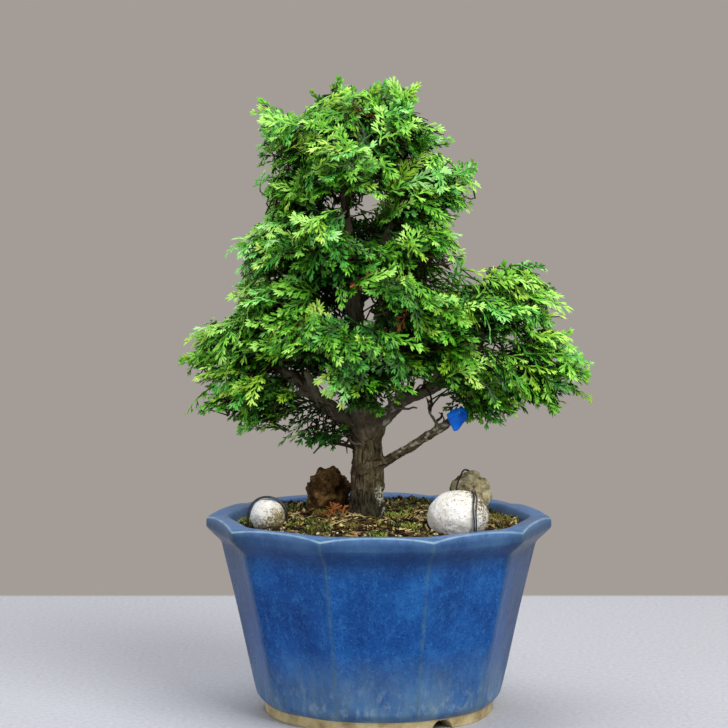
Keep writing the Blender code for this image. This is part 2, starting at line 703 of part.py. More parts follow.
def join_mass(name, pieces, parts):
    """Fuse a mass's stem, twigs and sprays by one Boolean union on a collection."""
    holder = new_collection(name + "_pieces")
    base = add_object(name, mesh_from(pieces[0], name), parts, "foliage")
    for piece in pieces[1:]:
        add_object(name + "_piece", mesh_from(piece, name + "_piece"), holder)
    union = base.modifiers.new("fuse", "BOOLEAN")
    union.operation = "UNION"
    union.operand_type = "COLLECTION"
    union.collection = holder
    union.solver = "MANIFOLD"
    baked(base)
    for obj in list(holder.objects):
        mesh = obj.data
        bpy.data.objects.remove(obj)
        bpy.data.meshes.remove(mesh)
    bpy.data.collections.remove(holder)
    bm = bmesh.new()
    bm.from_mesh(base.data)
    bmesh.ops.triangulate(bm, faces=bm.faces)
    bmesh.ops.dissolve_degenerate(bm, dist=SLIVER * MM, edges=bm.edges)
    bmesh.ops.triangulate(bm, faces=bm.faces)
    bm.to_mesh(base.data)
    bm.free()
    keep_largest(base.data)
    return base


# ------------------------------------------------------------------ things on the soil

def make_lumps(parts, cutters, soil):
    """Balls and stones, each cut flat a gap above the soil."""
    lifted = soil.copy()
    lifted.data = soil.data.copy()
    lifted.location.z = GAP * MM
    cutters.objects.link(lifted)
    hide_cutter(lifted)
    bpy.context.view_layer.update()
    for name, centre, half in SOIL_LUMPS:
        bm = bmesh.new()
        bmesh.ops.create_uvsphere(bm, u_segments=14, v_segments=8, radius=1.0,
                                  matrix=Matrix.Translation(centre) @ Matrix.Diagonal((*half, 1)))
        look = "ball" if name.startswith("ball") else "lump"
        lump = add_object(name, mesh_from(bm, name), parts, look)
        cut(lump, lifted)
        keep_largest(lump.data)
        smooth(lump)


def soil_height(x, y):
    """Height of the soil's ten-sided dome at a place."""
    sector = 2 * math.pi / POT_SIDES
    lean = (math.atan2(y, x) - math.radians(POT_TURN)) % sector - sector / 2
    corner_r = math.hypot(x, y) * math.cos(lean) / math.cos(sector / 2)
    slope = (LIP_IN_R - INNER_TOP_R) / (LIP_IN_Z - INNER_TOP_Z)
    edge_r = INNER_TOP_R + slope * (SOIL_EDGE_Z - INNER_TOP_Z)
    fall = (corner_r - SOIL_TOP_R) / (edge_r - SOIL_TOP_R)
    return SOIL_TOP_Z - (SOIL_TOP_Z - SOIL_EDGE_Z) * max(0.0, fall)


def make_staples(parts):
    """Wire staples: an arch just clear of what it holds, with two legs down to the soil."""
    lumps = {name: (Vector(centre), half) for name, centre, half in SOIL_LUMPS}
    for name, held, azimuth, offset, radius in STAPLES:
        centre, half = lumps[held]
        turn = math.radians(azimuth)
        along = Vector((math.cos(turn), math.sin(turn), 0))
        aside = Vector((-along.y, along.x, 0))
        shrink = math.sqrt(1 - (offset / half[0]) ** 2)
        clear = 2.0 * GAP + radius
        wide, tall = half[0] * shrink + clear, half[2] * shrink + clear
        middle = centre + aside * offset
        arch = [middle + along * wide * math.cos(a) + Vector((0, 0, tall * math.sin(a)))
                for a in (math.pi * k / STAPLE_STEPS for k in range(STAPLE_STEPS + 1))]
        ends = []
        for top in (arch[0], arch[-1]):
            ends.append(Vector((top.x, top.y, soil_height(top.x, top.y) + GAP + 0.2)))
        path = [ends[0]] + arch + [ends[1]]
        wire = tube_object(name, path, [radius] * len(path), parts, 6, "wire")
        smooth(wire, 70)


def make_tag(parts):
    """Bare blue plastic tag: a filled flat outline with half its thickness as extrude."""
    curve = bpy.data.curves.new("tag", "CURVE")
    curve.dimensions = "2D"
    curve.fill_mode = "BOTH"
    curve.extrude = TAG_THICK / 2 * MM
    spline = curve.splines.new("POLY")
    spline.points.add(len(TAG_OUTLINE) - 1)
    for point, (angle, away) in zip(spline.points, TAG_OUTLINE):
        turn = math.radians(angle)
        point.co = (away * math.cos(turn) * MM, away * math.sin(turn) * MM, 0.0, 1.0)
    spline.use_cyclic_u = True
    holder = bpy.data.objects.new("tag_curve", curve)
    parts.objects.link(holder)
    depsgraph = bpy.context.evaluated_depsgraph_get()
    mesh = bpy.data.meshes.new_from_object(holder.evaluated_get(depsgraph))
    bpy.data.objects.remove(holder)
    bm = bmesh.new()
    bm.from_mesh(mesh)
    bmesh.ops.remove_doubles(bm, verts=bm.verts, dist=0.00001)
    bmesh.ops.recalc_face_normals(bm, faces=bm.faces)
    bm.to_mesh(mesh)
    bm.free()
    mesh.name = "tag"
    tag = add_object("tag", mesh, parts, "tag")
    tag.location = [v * MM for v in TAG_AT]
    tag.rotation_euler = [math.radians(v) for v in TAG_TILT]
    return tag


def centre_origin(parts):
    """Move the model so the middle of its bounding box stands over the origin."""
    bpy.context.view_layer.update()
    corners = [obj.matrix_world @ Vector(c) for obj in parts.objects for c in obj.bound_box]
    middle = [(min(c[k] for c in corners) + max(c[k] for c in corners)) / 2 for k in range(2)]
    root = bpy.data.objects.new("potted_conifer", None)
    parts.objects.link(root)
    for obj in list(parts.objects):
        if obj is not root:
            obj.parent = root
    root.location = (-middle[0], -middle[1], 0.0)
    bpy.context.view_layer.update()
    return root


def main():
    clear_scene()
    parts = new_collection("potted_conifer")
    cutters = new_collection("cutters")
    make_pot(parts, cutters)
    soil = make_soil(parts)
    limbs, guards = make_limbs(parts, cutters)
    bpy.context.view_layer.update()
    depsgraph = bpy.context.evaluated_depsgraph_get()
    limb_trees = []
    for guard in guards.values():
        bm = bmesh.new()
        bm.from_mesh(guard.data)
        bmesh.ops.scale(bm, vec=(1 / MM,) * 3, verts=bm.verts)
        limb_trees.append(BVHTree.FromBMesh(bm))
        bm.free()
    total = 0
    for index in range(len(MASSES)):
        obj, count = grow_sound_mass(index, limbs, limb_trees, parts)
        total += count
        print(obj.name, count, "sprays", len(obj.data.polygons), "faces")
    print("sprays in all", total)
    make_lumps(parts, cutters, soil)
    make_staples(parts)
    make_tag(parts)
    centre_origin(parts)


main()
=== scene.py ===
"""Potted conifer: the looks of a small hinoki cypress, grown as a bonsai in a blue pot.

Every table is in millimetres about the pot's axis, with the bench at z = 0, as in the
part's source. Meshes are written in metres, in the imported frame, by mesh_object().
"""
import math
import random

import bmesh
import bpy
import numpy as np
from mathutils import Matrix, Vector, kdtree, noise


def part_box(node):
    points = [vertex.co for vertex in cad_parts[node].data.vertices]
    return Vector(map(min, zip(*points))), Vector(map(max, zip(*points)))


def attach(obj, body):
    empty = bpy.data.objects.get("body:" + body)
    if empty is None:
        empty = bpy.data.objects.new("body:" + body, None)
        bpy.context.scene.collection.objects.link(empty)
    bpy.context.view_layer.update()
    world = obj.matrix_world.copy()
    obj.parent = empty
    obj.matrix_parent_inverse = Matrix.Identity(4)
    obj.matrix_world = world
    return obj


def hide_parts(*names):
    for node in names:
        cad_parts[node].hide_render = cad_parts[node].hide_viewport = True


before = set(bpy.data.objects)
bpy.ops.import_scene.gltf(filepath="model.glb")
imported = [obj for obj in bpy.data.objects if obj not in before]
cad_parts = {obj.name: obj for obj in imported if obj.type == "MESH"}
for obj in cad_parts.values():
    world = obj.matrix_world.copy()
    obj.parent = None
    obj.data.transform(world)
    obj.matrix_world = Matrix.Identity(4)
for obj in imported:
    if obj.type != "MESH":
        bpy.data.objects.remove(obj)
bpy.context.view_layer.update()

SEED = 41
MM = 0.001
POT_LOW, POT_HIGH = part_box("pot")
AXIS = np.array([(POT_LOW.x + POT_HIGH.x) / 2, (POT_LOW.y + POT_HIGH.y) / 2, 0.0])
BODY = "root"
UP = Vector((0, 0, 1))
TURN, THIRD = 6.28, 2.094  # a whole turn and a third of one, as rough headings need them

# ------------------------------------------------------------------ tables from the source

POT_SIDES = 10
POT_TURN = math.radians(-0.9)      # where one of the pot's corners stands
SECTOR = math.tau / POT_SIDES
LIP_R, LIP_Z, LIP_EDGE = 75.0, 83.6, 4.2
LIP_IN_R, LIP_IN_Z = 65.6, 84.5
BODY_TOP_R, BODY_TOP_Z = 68.2, 74.0
BODY_LOW_R, BODY_LOW_Z = 54.2, 12.0
FOOT_R, FOOT_IN_R, FOOT_H = 49.0, 41.0, 5.0
FLOOR_UNDER_Z, FLOOR_Z = 4.5, 11.0
DRAIN_R = 7.0
INNER_TOP_R, INNER_TOP_Z, INNER_LOW_R = 61.5, 77.0, 46.0
NOTCH_R, NOTCH_Z = 5.6, -1.2
NOTCH_AZIMUTHS = (-57.4, 62.6, 182.6)
SOIL_TOP_Z, SOIL_TOP_R, SOIL_EDGE_Z = 84.0, 36.0, 80.5
WALL_SLOPE = (LIP_IN_R - INNER_TOP_R) / (LIP_IN_Z - INNER_TOP_Z)
SOIL_EDGE_R = INNER_TOP_R + WALL_SLOPE * (SOIL_EDGE_Z - INNER_TOP_Z)
TRUNK = (
    ((-5.0, 6.0, 79.0), 11.0),
    ((-5.0, 6.0, 84.3), 9.4),
    ((-5.0, 6.0, 87.0), 8.4),
    ((-4.9, 6.0, 94.0), 7.4),
    ((-4.8, 6.0, 103.0), 7.2),
    ((-4.8, 6.0, 112.4), 6.7),
    ((-5.6, 6.0, 121.1), 7.1),
    ((-6.3, 6.0, 128.0), 6.8),
    ((-8.0, 6.0, 143.0), 4.8),
    ((-9.3, 6.0, 164.7), 4.0),
    ((-11.5, 5.0, 186.5), 3.1),
    ((-13.6, 4.0, 208.1), 2.4),
    ((-15.6, 2.0, 229.6), 1.5),
    ((-16.4, 0.5, 246.0), 0.9),
)

# Boughs: name, limb it leaves, centreline from that limb's axis to the tip, end radii.
BOUGHS = (
    ("left", "trunk",
     ((-6, 6, 117), (-13, 4, 125), (-24.4, 0, 134), (-33.9, -3, 143), (-43, -5, 149)), 4.6, 1.9),
    ("left_inner", "left",
     ((-24.4, 0, 134), (-28, -6, 140), (-31, -10, 148)), 2.0, 1.2),
    ("right", "trunk",
     ((-4, 6, 119), (2, 6, 126), (10.2, 6, 133.4), (22.3, 4, 138.8), (30.9, 2, 144.2),
      (43.8, 0, 148), (55, -1, 148)), 3.6, 1.4),
    ("right_up", "right",
     ((38, 1, 146.5), (42.5, 0, 157), (45.5, 0, 165)), 1.8, 1.2),
    ("right_inner", "right",
     ((22.3, 4, 138.8), (24.5, 0, 145), (26, -4, 152)), 1.9, 1.2),
    ("low_right", "trunk",
     ((-4, 5, 104.5), (2.5, 4, 107.6), (13.6, 0, 114.4), (28.6, -5, 124.5), (38.4, -6, 131)),
     2.4, 1.7),
    ("low_right_spur", "low_right",
     ((24, -3.5, 121.4), (24.6, -4, 125), (22.4, -3, 130), (21, 0, 135.4)), 0.9, 0.6),
    ("front", "trunk",
     ((-6, 5, 121), (-8, -5, 129), (-11, -14, 138)), 2.4, 1.4),
    ("mid_front", "trunk",
     ((-9.4, 5, 162), (-12, -4, 174), (-14, -11, 184)), 1.9, 1.2),
    ("mid_left", "trunk",
     ((-8.4, 6, 147), (-17, 4, 162), (-27, 1, 176)), 2.4, 1.3),
    ("mid_right", "trunk",
     ((-8.6, 6, 151), (0, 5, 165), (10, 3, 180)), 2.4, 1.3),
    ("upper_left", "trunk",
     ((-11.5, 5, 187), (-18, 4, 199), (-24, 2, 209)), 1.8, 1.1),
    ("upper_right", "trunk",
     ((-11.2, 5, 183), (-2, 4, 198), (8, 2, 216), (11, 1, 234)), 2.1, 1.0),
    ("upper_right_side", "upper_right",
     ((-2, 4, 198), (7, 2, 205), (15, 0, 212)), 1.4, 1.0),
    ("left_high", "trunk",
     ((-7.4, 6, 138), (-18, 2, 151), (-29, -3, 162)), 2.2, 1.2),
    ("left_low", "left",
     ((-27, -1, 137), (-33, -5, 138), (-40, -8, 137)), 1.8, 1.2),
    ("front_high", "trunk",
     ((-7.6, 5, 141), (-6, -6, 154), (-1, -13, 164)), 2.0, 1.2),
    ("back_left", "trunk",
     ((-6.8, 6, 131), (-16, 16, 139), (-26, 22, 145)), 2.3, 1.4),
    ("back_right", "trunk",
     ((-7, 6, 135), (4, 17, 143), (15, 24, 149)), 2.3, 1.4),
    ("back_mid_left", "trunk",
     ((-9.8, 6, 170), (-18, 14, 180), (-25, 19, 187)), 1.8, 1.2),
    ("back_mid_right", "trunk",
     ((-9.8, 6, 173), (-3, 16, 183), (3, 21, 190)), 1.8, 1.2),
)

# Foliage masses: name, limb, height its stem leaves the trunk at (None for a bough's tip),
# centre, half sizes, and the furthest tips that sprays must reach.
MASSES = (
    ("apex", "trunk", None, (-14, 0, 257), (20, 20, 18),
     ((-17, 0, 274), (-27, -3, 265))),
    ("top_left", "trunk", 221, (-34, -3, 246), (21, 21, 20),
     ((-51, -5, 263), (-52, 0, 254), (-49, -4, 242))),
    ("top_right", "upper_right", None, (12, -2, 252), (23, 21, 20),
     ((15.5, -2, 270), (3, -4, 268), (33, 0, 251))),
    ("front_top", "trunk", 214, (-13, -18, 232), (21, 18, 20), ()),
    ("back_top", "trunk", 217, (-10, 23, 235), (25, 20, 23), ()),
    ("upper_left", "upper_left", None, (-34, 0, 221), (20, 23, 19),
     ((-53, -2, 229), (-48, 0, 214))),
    ("upper_right", "upper_right_side", None, (22, -2, 223), (21, 23, 21),
     ((41, 0, 238), (40, 0, 229), (37, 0, 207))),
    ("mid_front", "mid_front", None, (-16, -23, 203), (27, 20, 18), ()),
    ("mid_left", "mid_left", None, (-42, -2, 195), (22, 24, 19),
     ((-60, 0, 204), (-61, 0, 187))),
    ("mid_right", "mid_right", None, (18, -4, 194), (22, 24, 20),
     ((36, 0, 195),)),
    ("front_high", "front_high", None, (4, -24, 177), (25, 20, 15), ()),
    ("left_high", "left_high", None, (-46, -9, 173), (21, 22, 14),
     ((-62, -6, 176),)),
    ("back_mid_left", "back_mid_left", None, (-33, 29, 199), (24, 22, 23), ()),
    ("back_mid_right", "back_mid_right", None, (11, 31, 201), (26, 23, 24), ()),
    ("left_outer", "left", None, (-62, -5, 153), (25, 23, 16),
     ((-84.5, -5, 153), (-80, -3, 160))),
    ("left_low", "left_low", None, (-56, -11, 134), (24, 20, 13),
     ((-77, -8, 131), (-74, -7, 124))),
    ("left_inner", "left_inner", None, (-32, -20, 155), (22, 20, 20), ()),
    ("low_left", "trunk", 114, (-28, -4, 121), (17, 14, 9), ()),
    ("front_low", "front", None, (-6, -28, 150), (21, 19, 20),
     ((-13, -28, 129),)),
    ("right_inner", "right_inner", None, (27, -12, 162), (23, 23, 20), ()),
    ("right_top", "right_up", None, (60, 0, 174), (25, 23, 21),
     ((59, 4, 192.5), (77, -2, 181), (85, 0, 162))),
    ("right_outer", "right", None, (71, -4, 147), (23, 23, 18),
     ((91, -5, 145), (85, -5, 133))),
    ("right_low", "low_right", None, (49, -10, 138), (18, 18, 16),
     ((54, -8, 124),)),
    ("back_left", "back_left", None, (-42, 34, 156), (29, 26, 22),
     ((-64, 38, 152),)),
    ("back_right", "back_right", None, (30, 36, 160), (29, 26, 23),
     ((55, 40, 156),)),
)
STEM_R, TWIG_R = 0.95, 0.65
SPACE_GROWTH, CELL_GAP = 1.07, 0.35

# Things that lie on the soil: name, centre, half sizes; and wires bent over them: name,
# what it holds, azimuth of its plane, offset from the middle, radius.
SOIL_LUMPS = {
    "ball_right": ((33.3, -31.0, 88.6), (12.9, 12.2, 11.0)),
    "ball_left": ((-47.3, -20.0, 87.0), (7.3, 7.0, 7.2)),
    "lump_brown": ((-22.2, 26.0, 91.0), (10.0, 9.0, 11.0)),
    "lump_grey": ((40.9, 25.0, 90.5), (9.2, 8.6, 10.0)),
}
STAPLES = (
    ("wire_right", "ball_right", 90.0, -6.6, 0.55),
    ("wire_left", "ball_left", 174.0, 0.0, 0.55),
    ("wire_back", "lump_grey", 65.0, 2.5, 0.5),
)
TAG_AT, TAG_TILT = (33.0, -9.3, 127.0), (84.0, 0.0, -4.0)
TAG_OUTLINE = ((32, 6.4), (62, 6.1), (96, 5.0), (150, 4.8), (222, 3.0), (262, 4.9), (285, 4.4),
               (330, 3.4), (8, 4.9))
GAP = 0.3                 # between the source's solids

# ------------------------------------------------------------------ tables of this scene

# Crown pieces, each under 200,000 triangles: name and the masses it stands for.
CROWN = (
    ("crown_top", ("apex", "top_left", "top_right", "front_top", "back_top")),
    ("crown_upper", ("upper_left", "upper_right", "mid_front", "mid_left", "mid_right")),
    ("crown_middle", ("front_high", "left_high", "back_mid_left", "back_mid_right")),
    ("crown_left", ("left_outer", "left_low", "left_inner", "low_left", "back_left")),
    ("crown_front", ("front_low", "right_inner", "back_right")),
    ("crown_right", ("right_top", "right_outer", "right_low")),
)
# Shells of sprays in a mass: part of the way to its edge, how many, their mean length.
SHELLS = ((1.0, 76, 22.0), (0.78, 60, 20.0), (0.54, 40, 18.0))
INNER_KEEP = 0.55         # part of the sprays kept where another mass lies outside them
OVERLAP = 4.0             # how far inner sprays reach past the plane between two masses
LEADERS = 0.22            # part of the outer sprays that stand out beyond the rest
CROWN_EDGE = 1.12         # square of how far a spray may stand out of the masses
LEADER_EDGE = 1.4         # the same for a leader
HIDDEN_EDGE = 0.9         # the same for a place that another mass hides
FORKS = 8                 # main twigs of a mass
FORK_R = 0.42
BRANCH_STEP = 2.1         # between a spray's branchlets, which leave it left and right in turn
LOBE_STEP = 1.4           # between a branchlet's lobes
LOBE_MAX = 4.7            # longest lobe
LOBE_HALF, SPINE_HALF = 0.5, 0.45     # half widths
LOBE_RIDGE = 0.32         # how far a lobe is raised along its middle
HUB_SHARE = 0.55          # how far a mass's sprays fan out from the trunk, not its middle
SHOOTS = 240              # shaded shoots on the trunk and inner boughs
SHOOT_LOW, SHOOT_MOST, SHOOT_HIGH = 136.0, 172.0, 244.0
INNER_EDGE = 1.7          # the same for a shoot as CROWN_EDGE for a spray
HANGING = 0.34            # part of the sprays that hang
TWIG_REACH = 9.0          # longest twig of a spray before it is drawn in
SPARSE = {"low_left": 0.22}   # part of a thin mass's sprays that are kept
# Where the sky shows through and between the masses, or a bough shows, seen from the front:
# x, z, half sizes, and how far back the opening reaches.
OPENINGS = (
    (-3.0, 219, 3.8, 3.2, 99), (-18.5, 220, 5, 2.2, 99), (31, 262, 16, 10, 99),
    (-25, 271, 5, 5.5, 99), (38, 243, 10, 4, 99), (-36, 266, 7, 8, 99), (-14, 286, 26, 9, 99),
    (-34, 278, 13, 9, 99), (-9, 271.5, 3.5, 6, 99), (14, 282, 22, 9, 99), (-63, 243, 11, 17, 99),
    (-61, 218, 12, 10, 99), (-67, 214, 13, 10, 99), (-83, 176, 16, 11, 99),
    (43, 204, 10, 12, 99), (62, 207, 19, 10, 99), (85, 189, 12, 11, 99), (-75, 123, 13, 5.6, 99),
    (70, 120, 14, 8, 99), (-19, 129, 5, 5, 2), (-26, 135.5, 5, 4, 0), (-33, 141, 5, 3.5, -3),
    (33, 127, 7, 7, 0), (-8, 176, 4, 7, -6), (-6, 212, 9, 6, -4), (-20, 220, 4, 5, -4),
    (-34, 147, 10, 5, -8), (23, 189, 8, 5, -4), (94, 172, 9, 9, 99), (98, 157, 10, 5, 99),
    (40, 116, 12, 9, 99),
)
# Sprays that stand out in the photo, by mass: root, tip, brightness, how many side by side.
SHOWN = {
    "apex": (
        (-17.4, -2, 260.2, -16.5, -3, 272.5, 1.8, 3),
        (-20.3, -6, 258.4, -12.3, -6, 268.5, 1.4, 1), (-21.6, -4, 258, -28, -6, 265.2, 1.4, 2),
        (-22.9, -8, 255.8, -29.6, -9, 260.4, 1.2, 1),
    ),
    "top_right": (
        (-11, -3, 257.6, 0.9, -4, 269.3, 2.2, 3), (-5.4, -5, 255.9, 7.7, -6, 269.2, 2.4, 3),
        (0.9, -4, 254.2, 16.4, -4, 269.7, 3, 4), (2.6, -7, 255.4, 14.2, -8, 264.9, 2.6, 2),
        (17.7, 0, 247.5, 32.2, -2, 247, 1.8, 2), (11.2, -4, 242.3, 22, -6, 249.9, 1.8, 2),
    ),
    "upper_right": (
        (26.2, -2, 224.4, 38.6, -4, 229.1, 2, 2), (24.5, -4, 224.4, 35.5, -6, 220.6, 1.8, 2),
        (18, -6, 214.2, 33.9, -8, 214.3, 2.2, 2),
    ),
    "top_left": (
        (-37.9, -3, 250.6, -50.5, -4, 262.3, 2.2, 3),
        (-35.7, -6, 248.5, -49.4, -7, 255.9, 2.2, 2), (-33.6, -4, 246.4, -49, -5, 250.2, 1.6, 2),
        (-37, -4, 241.5, -48.2, -4, 242.7, 1.2, 1), (-38, 0, 239, -51, -2, 239.8, 0.9, 1),
    ),
    "upper_left": (
        (-37.1, -3, 229.6, -50, -3, 229.1, 1.2, 1), (-33.7, -4, 226.1, -48, -5, 223.6, 1.8, 2),
    ),
    "mid_left": (
        (-45.3, -4, 201, -60.2, -5, 202.7, 1.8, 2), (-43.9, -6, 196.3, -57.5, -8, 198.1, 1.4, 1),
    ),
    "left_high": (
        (-46.5, -6, 177.5, -60.3, -7, 184, 1.8, 2), (-47.3, -8, 170.7, -60.7, -8, 174.2, 1.6, 2),
        (-44.7, -10, 162.3, -60.2, -10, 164.4, 3, 2),
    ),
    "left_outer": (
        (-59.5, -6, 156, -79.1, -8, 163.5, 2, 3), (-65.7, -9, 152.8, -84, -10, 152.5, 2.6, 3),
        (-62.7, -10, 147.7, -77.3, -11, 146.5, 1.8, 2),
    ),
    "left_low": (
        (-65.6, -12, 136.8, -77, -13, 131.3, 1.2, 2),
        (-49.8, -14, 132.7, -59.7, -14, 123.3, 2.4, 2),
        (-27, -6, 134.0, -38, -7, 126.0, -0.3, 2),
    ),
    "low_left": (
        (-18.4, 2, 124.2, -31.3, 0, 115.3, 0.6, 3), (-15.8, 2, 127.7, -24.5, 4, 118.7, 0.2, 2),
    ),
    "right_low": (
        (37, -4, 139, 28, -5, 131.4, -0.2, 2), (44, -4, 141, 38, -5, 131.4, 0.4, 2),
        (47.7, -8, 133.4, 45.9, -10, 123.7, 2.4, 2), (41.3, -8, 136.4, 39.1, -10, 127.1, 1.8, 2),
    ),
    "right_inner": (
        (0.6, 4, 149.2, 4.2, 8, 133.2, 0.2, 2), (8.5, 6, 150.8, 12, 10, 137.4, 0.0, 2),
        (15.4, 4, 151.8, 20.7, 8, 141.1, 0.2, 2), (5.8, -2, 149.7, 8.4, 0, 137.4, 0.8, 2),
    ),
    "front_low": (
        (-12.2, -31, 154.5, -15, -38, 134.1, 4.2, 2),
        (-13.8, -32, 153.7, -26.3, -36, 144.8, 4.4, 2),
        (-12.1, -33, 152.1, -20.4, -38, 139.1, 4.6, 2),
    ),
    "front_high": (
        (-1.7, -31, 167, 17.8, -38, 159.1, 2.8, 1),
    ),
    "back_mid_left": (
        (-24.8, 24, 191, -17.7, 20, 177.1, -0.2, 3),
        (-29.2, 22, 185.8, -23.4, 20, 171.8, -0.2, 2), (-22, 28, 182, -15, 22, 167, 0.0, 3),
        (-27, 24, 184, -21, 26, 168, 0.2, 3),
    ),
    "back_left": (
        (-32, 30, 164, -19, 26, 175, 0.0, 3), (-34, 30, 160, -22, 26, 168, 0.2, 3),
    ),
    "right_top": (
        (34.2, 0, 181.5, 35.4, 0, 195.3, 2.2, 2), (50.7, -4, 177, 49.3, -5, 192, 2.6, 3),
        (56.2, -6, 175.8, 56, -8, 191.2, 3.2, 3), (61.3, -6, 175, 64.3, -7, 188, 3, 3),
        (64, -5, 172.3, 69, -6, 184.6, 2.6, 2),
    ),
    "right_outer": (
        (64.9, -6, 161.2, 79.5, -8, 164.7, 3, 2), (67, -8, 154.9, 80.6, -9, 157.1, 3, 2),
        (71.3, -6, 151.7, 89.6, -9, 144.2, 2.2, 3), (64.6, -10, 147.7, 83.2, -12, 139.3, 2.6, 2),
        (62.5, -10, 142.2, 76.8, -12, 131.3, 2.2, 2), (53.7, -14, 145.5, 64.3, -16, 137.1, 3, 2),
    ),
}
SHOWN_FACE = Vector((0.1, -0.85, 0.5))    # the way their flat sides face
EYE = Vector((-6.3, -1000.0, 227.0))      # the camera of the main view
EYE_PITCH, EYE_PIXELS = 4.38, 2324.0     # its downward tip, and its lens in pixels
PHOTO_WIDTH = 728

# Leaf colours of three kinds of spray, from shaded to sunlit tip, and of dead sprays, as
# sRGB bytes.
LEAVES = (
    ("leaf_green", ((22, 60, 5), (42, 96, 10), (64, 134, 20), (92, 168, 38), (126, 196, 62),
                    (162, 218, 100))),
    ("leaf_warm", ((32, 60, 5), (56, 94, 10), (84, 130, 18), (114, 166, 34), (146, 194, 56),
                   (178, 216, 98))),
    ("leaf_cool", ((18, 56, 14), (34, 92, 24), (52, 130, 38), (80, 166, 60), (114, 196, 88),
                   (152, 216, 126))),
    ("leaf_dead", ((128, 112, 36), (120, 70, 28))),
)
KIND_CHANCES = (62, 17, 21)
BRIGHTEST = 5                 # last of the shades of a kind
DEAD = 3 * (BRIGHTEST + 1)    # where the dead colours start
TWIG_LOOKS = (("twig_brown", (58, 44, 28)), ("twig_green", (52, 78, 22)),
              ("twig_grey", (112, 106, 92)))
# Old bare twigs about a bough: bough, part of its length, their lean, how many.
TANGLES = (
    ("left", (0.12, 0.6), (-0.3, -0.2, -0.75), 46),
    ("left", (0.45, 1.0), (-0.3, -0.4, 0.1), 22),
    ("right", (0.25, 0.8), (0.3, -0.4, 0.7), 34),
    ("low_right_spur", (0.0, 0.9), (0.3, -0.2, 0.3), 5),
)


# ------------------------------------------------------------------ numbers and meshes

def clamp(value):
    """A value held between 0 and 1."""
    return max(0.0, min(1.0, value))


def polar(radius, turn):
    """Flat x and y at a radius and an angle."""
    return radius * math.cos(turn), radius * math.sin(turn)


def jolt(rng, spread):
    """A random vector, each part drawn from a bell curve."""
    return Vector([rng.gauss(0, spread) for _ in range(3)])


def nearest(places, spot):
    """The one of some places that is nearest to a spot."""
    return min(places, key=lambda place: (place - spot).length)


def mesh_object(name, verts, faces, materials, slots=None, smooth=True):
    """Object from millimetre points about the pot's axis and equal-sided faces."""
    verts = np.asarray(verts, dtype=np.float64) * MM + AXIS
    faces = np.asarray(faces, dtype=np.int32)
    count, sides = faces.shape
    mesh = bpy.data.meshes.new(name)
    mesh.vertices.add(len(verts))
    mesh.vertices.foreach_set("co", verts.ravel())
    mesh.loops.add(count * sides)
    mesh.loops.foreach_set("vertex_index", faces.ravel())
    mesh.polygons.add(count)
    mesh.polygons.foreach_set("loop_start", np.arange(0, count * sides, sides, dtype=np.int32))
    for material in materials:
        mesh.materials.append(material)
    if slots is not None:
        mesh.polygons.foreach_set("material_index", np.asarray(slots, dtype=np.int32))
    mesh.update(calc_edges=True)
    if smooth:
        mesh.shade_smooth()
    else:
        mesh.shade_flat()
    return link_object(name, mesh)


def link_object(name, data):
    """A new object in the scene."""
    obj = bpy.data.objects.new(name, data)
    bpy.context.scene.collection.objects.link(obj)
    return obj


def dress(obj, slot, *nodes):
    """Ride on the one body and stand for CAD nodes; the slot argument is not used."""
    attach(obj, BODY)
    if nodes:
        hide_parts(*nodes)


def set_attribute(mesh, name, values):
    """Store one float for each vertex."""
    layer = mesh.attributes.new(name, "FLOAT", "POINT")
    layer.data.foreach_set("value", np.asarray(values, dtype=np.float32))


class Batch:
    """Many small triangle meshes gathered into one."""

    def __init__(self):
        self.verts, self.faces, self.slots, self.count = [], [], [], 0

    def add(self, verts, faces, slots):
        faces = np.asarray(faces)
        self.verts.append(np.asarray(verts))
        self.faces.append(faces + self.count)
        self.slots.append(np.broadcast_to(slots, len(faces)))
        self.count += len(verts)

    def build(self, name, materials, smooth=True):
        return mesh_object(name, np.concatenate(self.verts), np.concatenate(self.faces),
                           materials, np.concatenate(self.slots), smooth)


def bands(rings, around, closed=False):
    """Corners of each quad between rings of points: two on a ring, two on the next."""
    for i in range(rings if closed else rings - 1):
        step = ((i + 1) % rings - i) * around
        for k in range(around):
            a, b = i * around + k, i * around + (k + 1) % around
            yield a, b, b + step, a + step


def tube(path, radii, sides=4):
    """Points and triangles of a closed tube along a path, tapered to its radii."""
    path = [Vector(p) for p in path]
    verts, ref = [], None
    for i, place in enumerate(path):
        along = (path[min(i + 1, len(path) - 1)] - path[max(i - 1, 0)]).normalized()
        if ref is None:
            ref = along.orthogonal()
        ref = (ref - along * ref.dot(along)).normalized()
        other = along.cross(ref)
        for k in range(sides):
            turn = math.tau * k / sides
            verts.append(place + (ref * math.cos(turn) + other * math.sin(turn)) * radii[i])
    faces = [tri for a, b, c, d in bands(len(path), sides) for tri in ((a, b, c), (a, c, d))]
    hub, top = len(verts), (len(path) - 1) * sides
    for k in range(sides):
        m = (k + 1) % sides
        faces += [(hub, m, k), (hub + 1, top + k, top + m)]
    return np.array([tuple(p) for p in verts + [path[0], path[-1]]]), faces


def spline_through(points, per_span=3):
    """Catmull-Rom points through a list of points."""
    knots = [Vector(p) for p in points]
    knots = [2 * knots[0] - knots[1]] + knots + [2 * knots[-1] - knots[-2]]
    path = []
    for a, b, c, d in zip(knots, knots[1:], knots[2:], knots[3:]):
        for step in range(per_span):
            t = step / per_span
            path.append(0.5 * (2 * b + (c - a) * t + (2 * a - 5 * b + 4 * c - d) * t * t
                               + (3 * b - a - 3 * c + d) * t ** 3))
    return path + [knots[-2]]


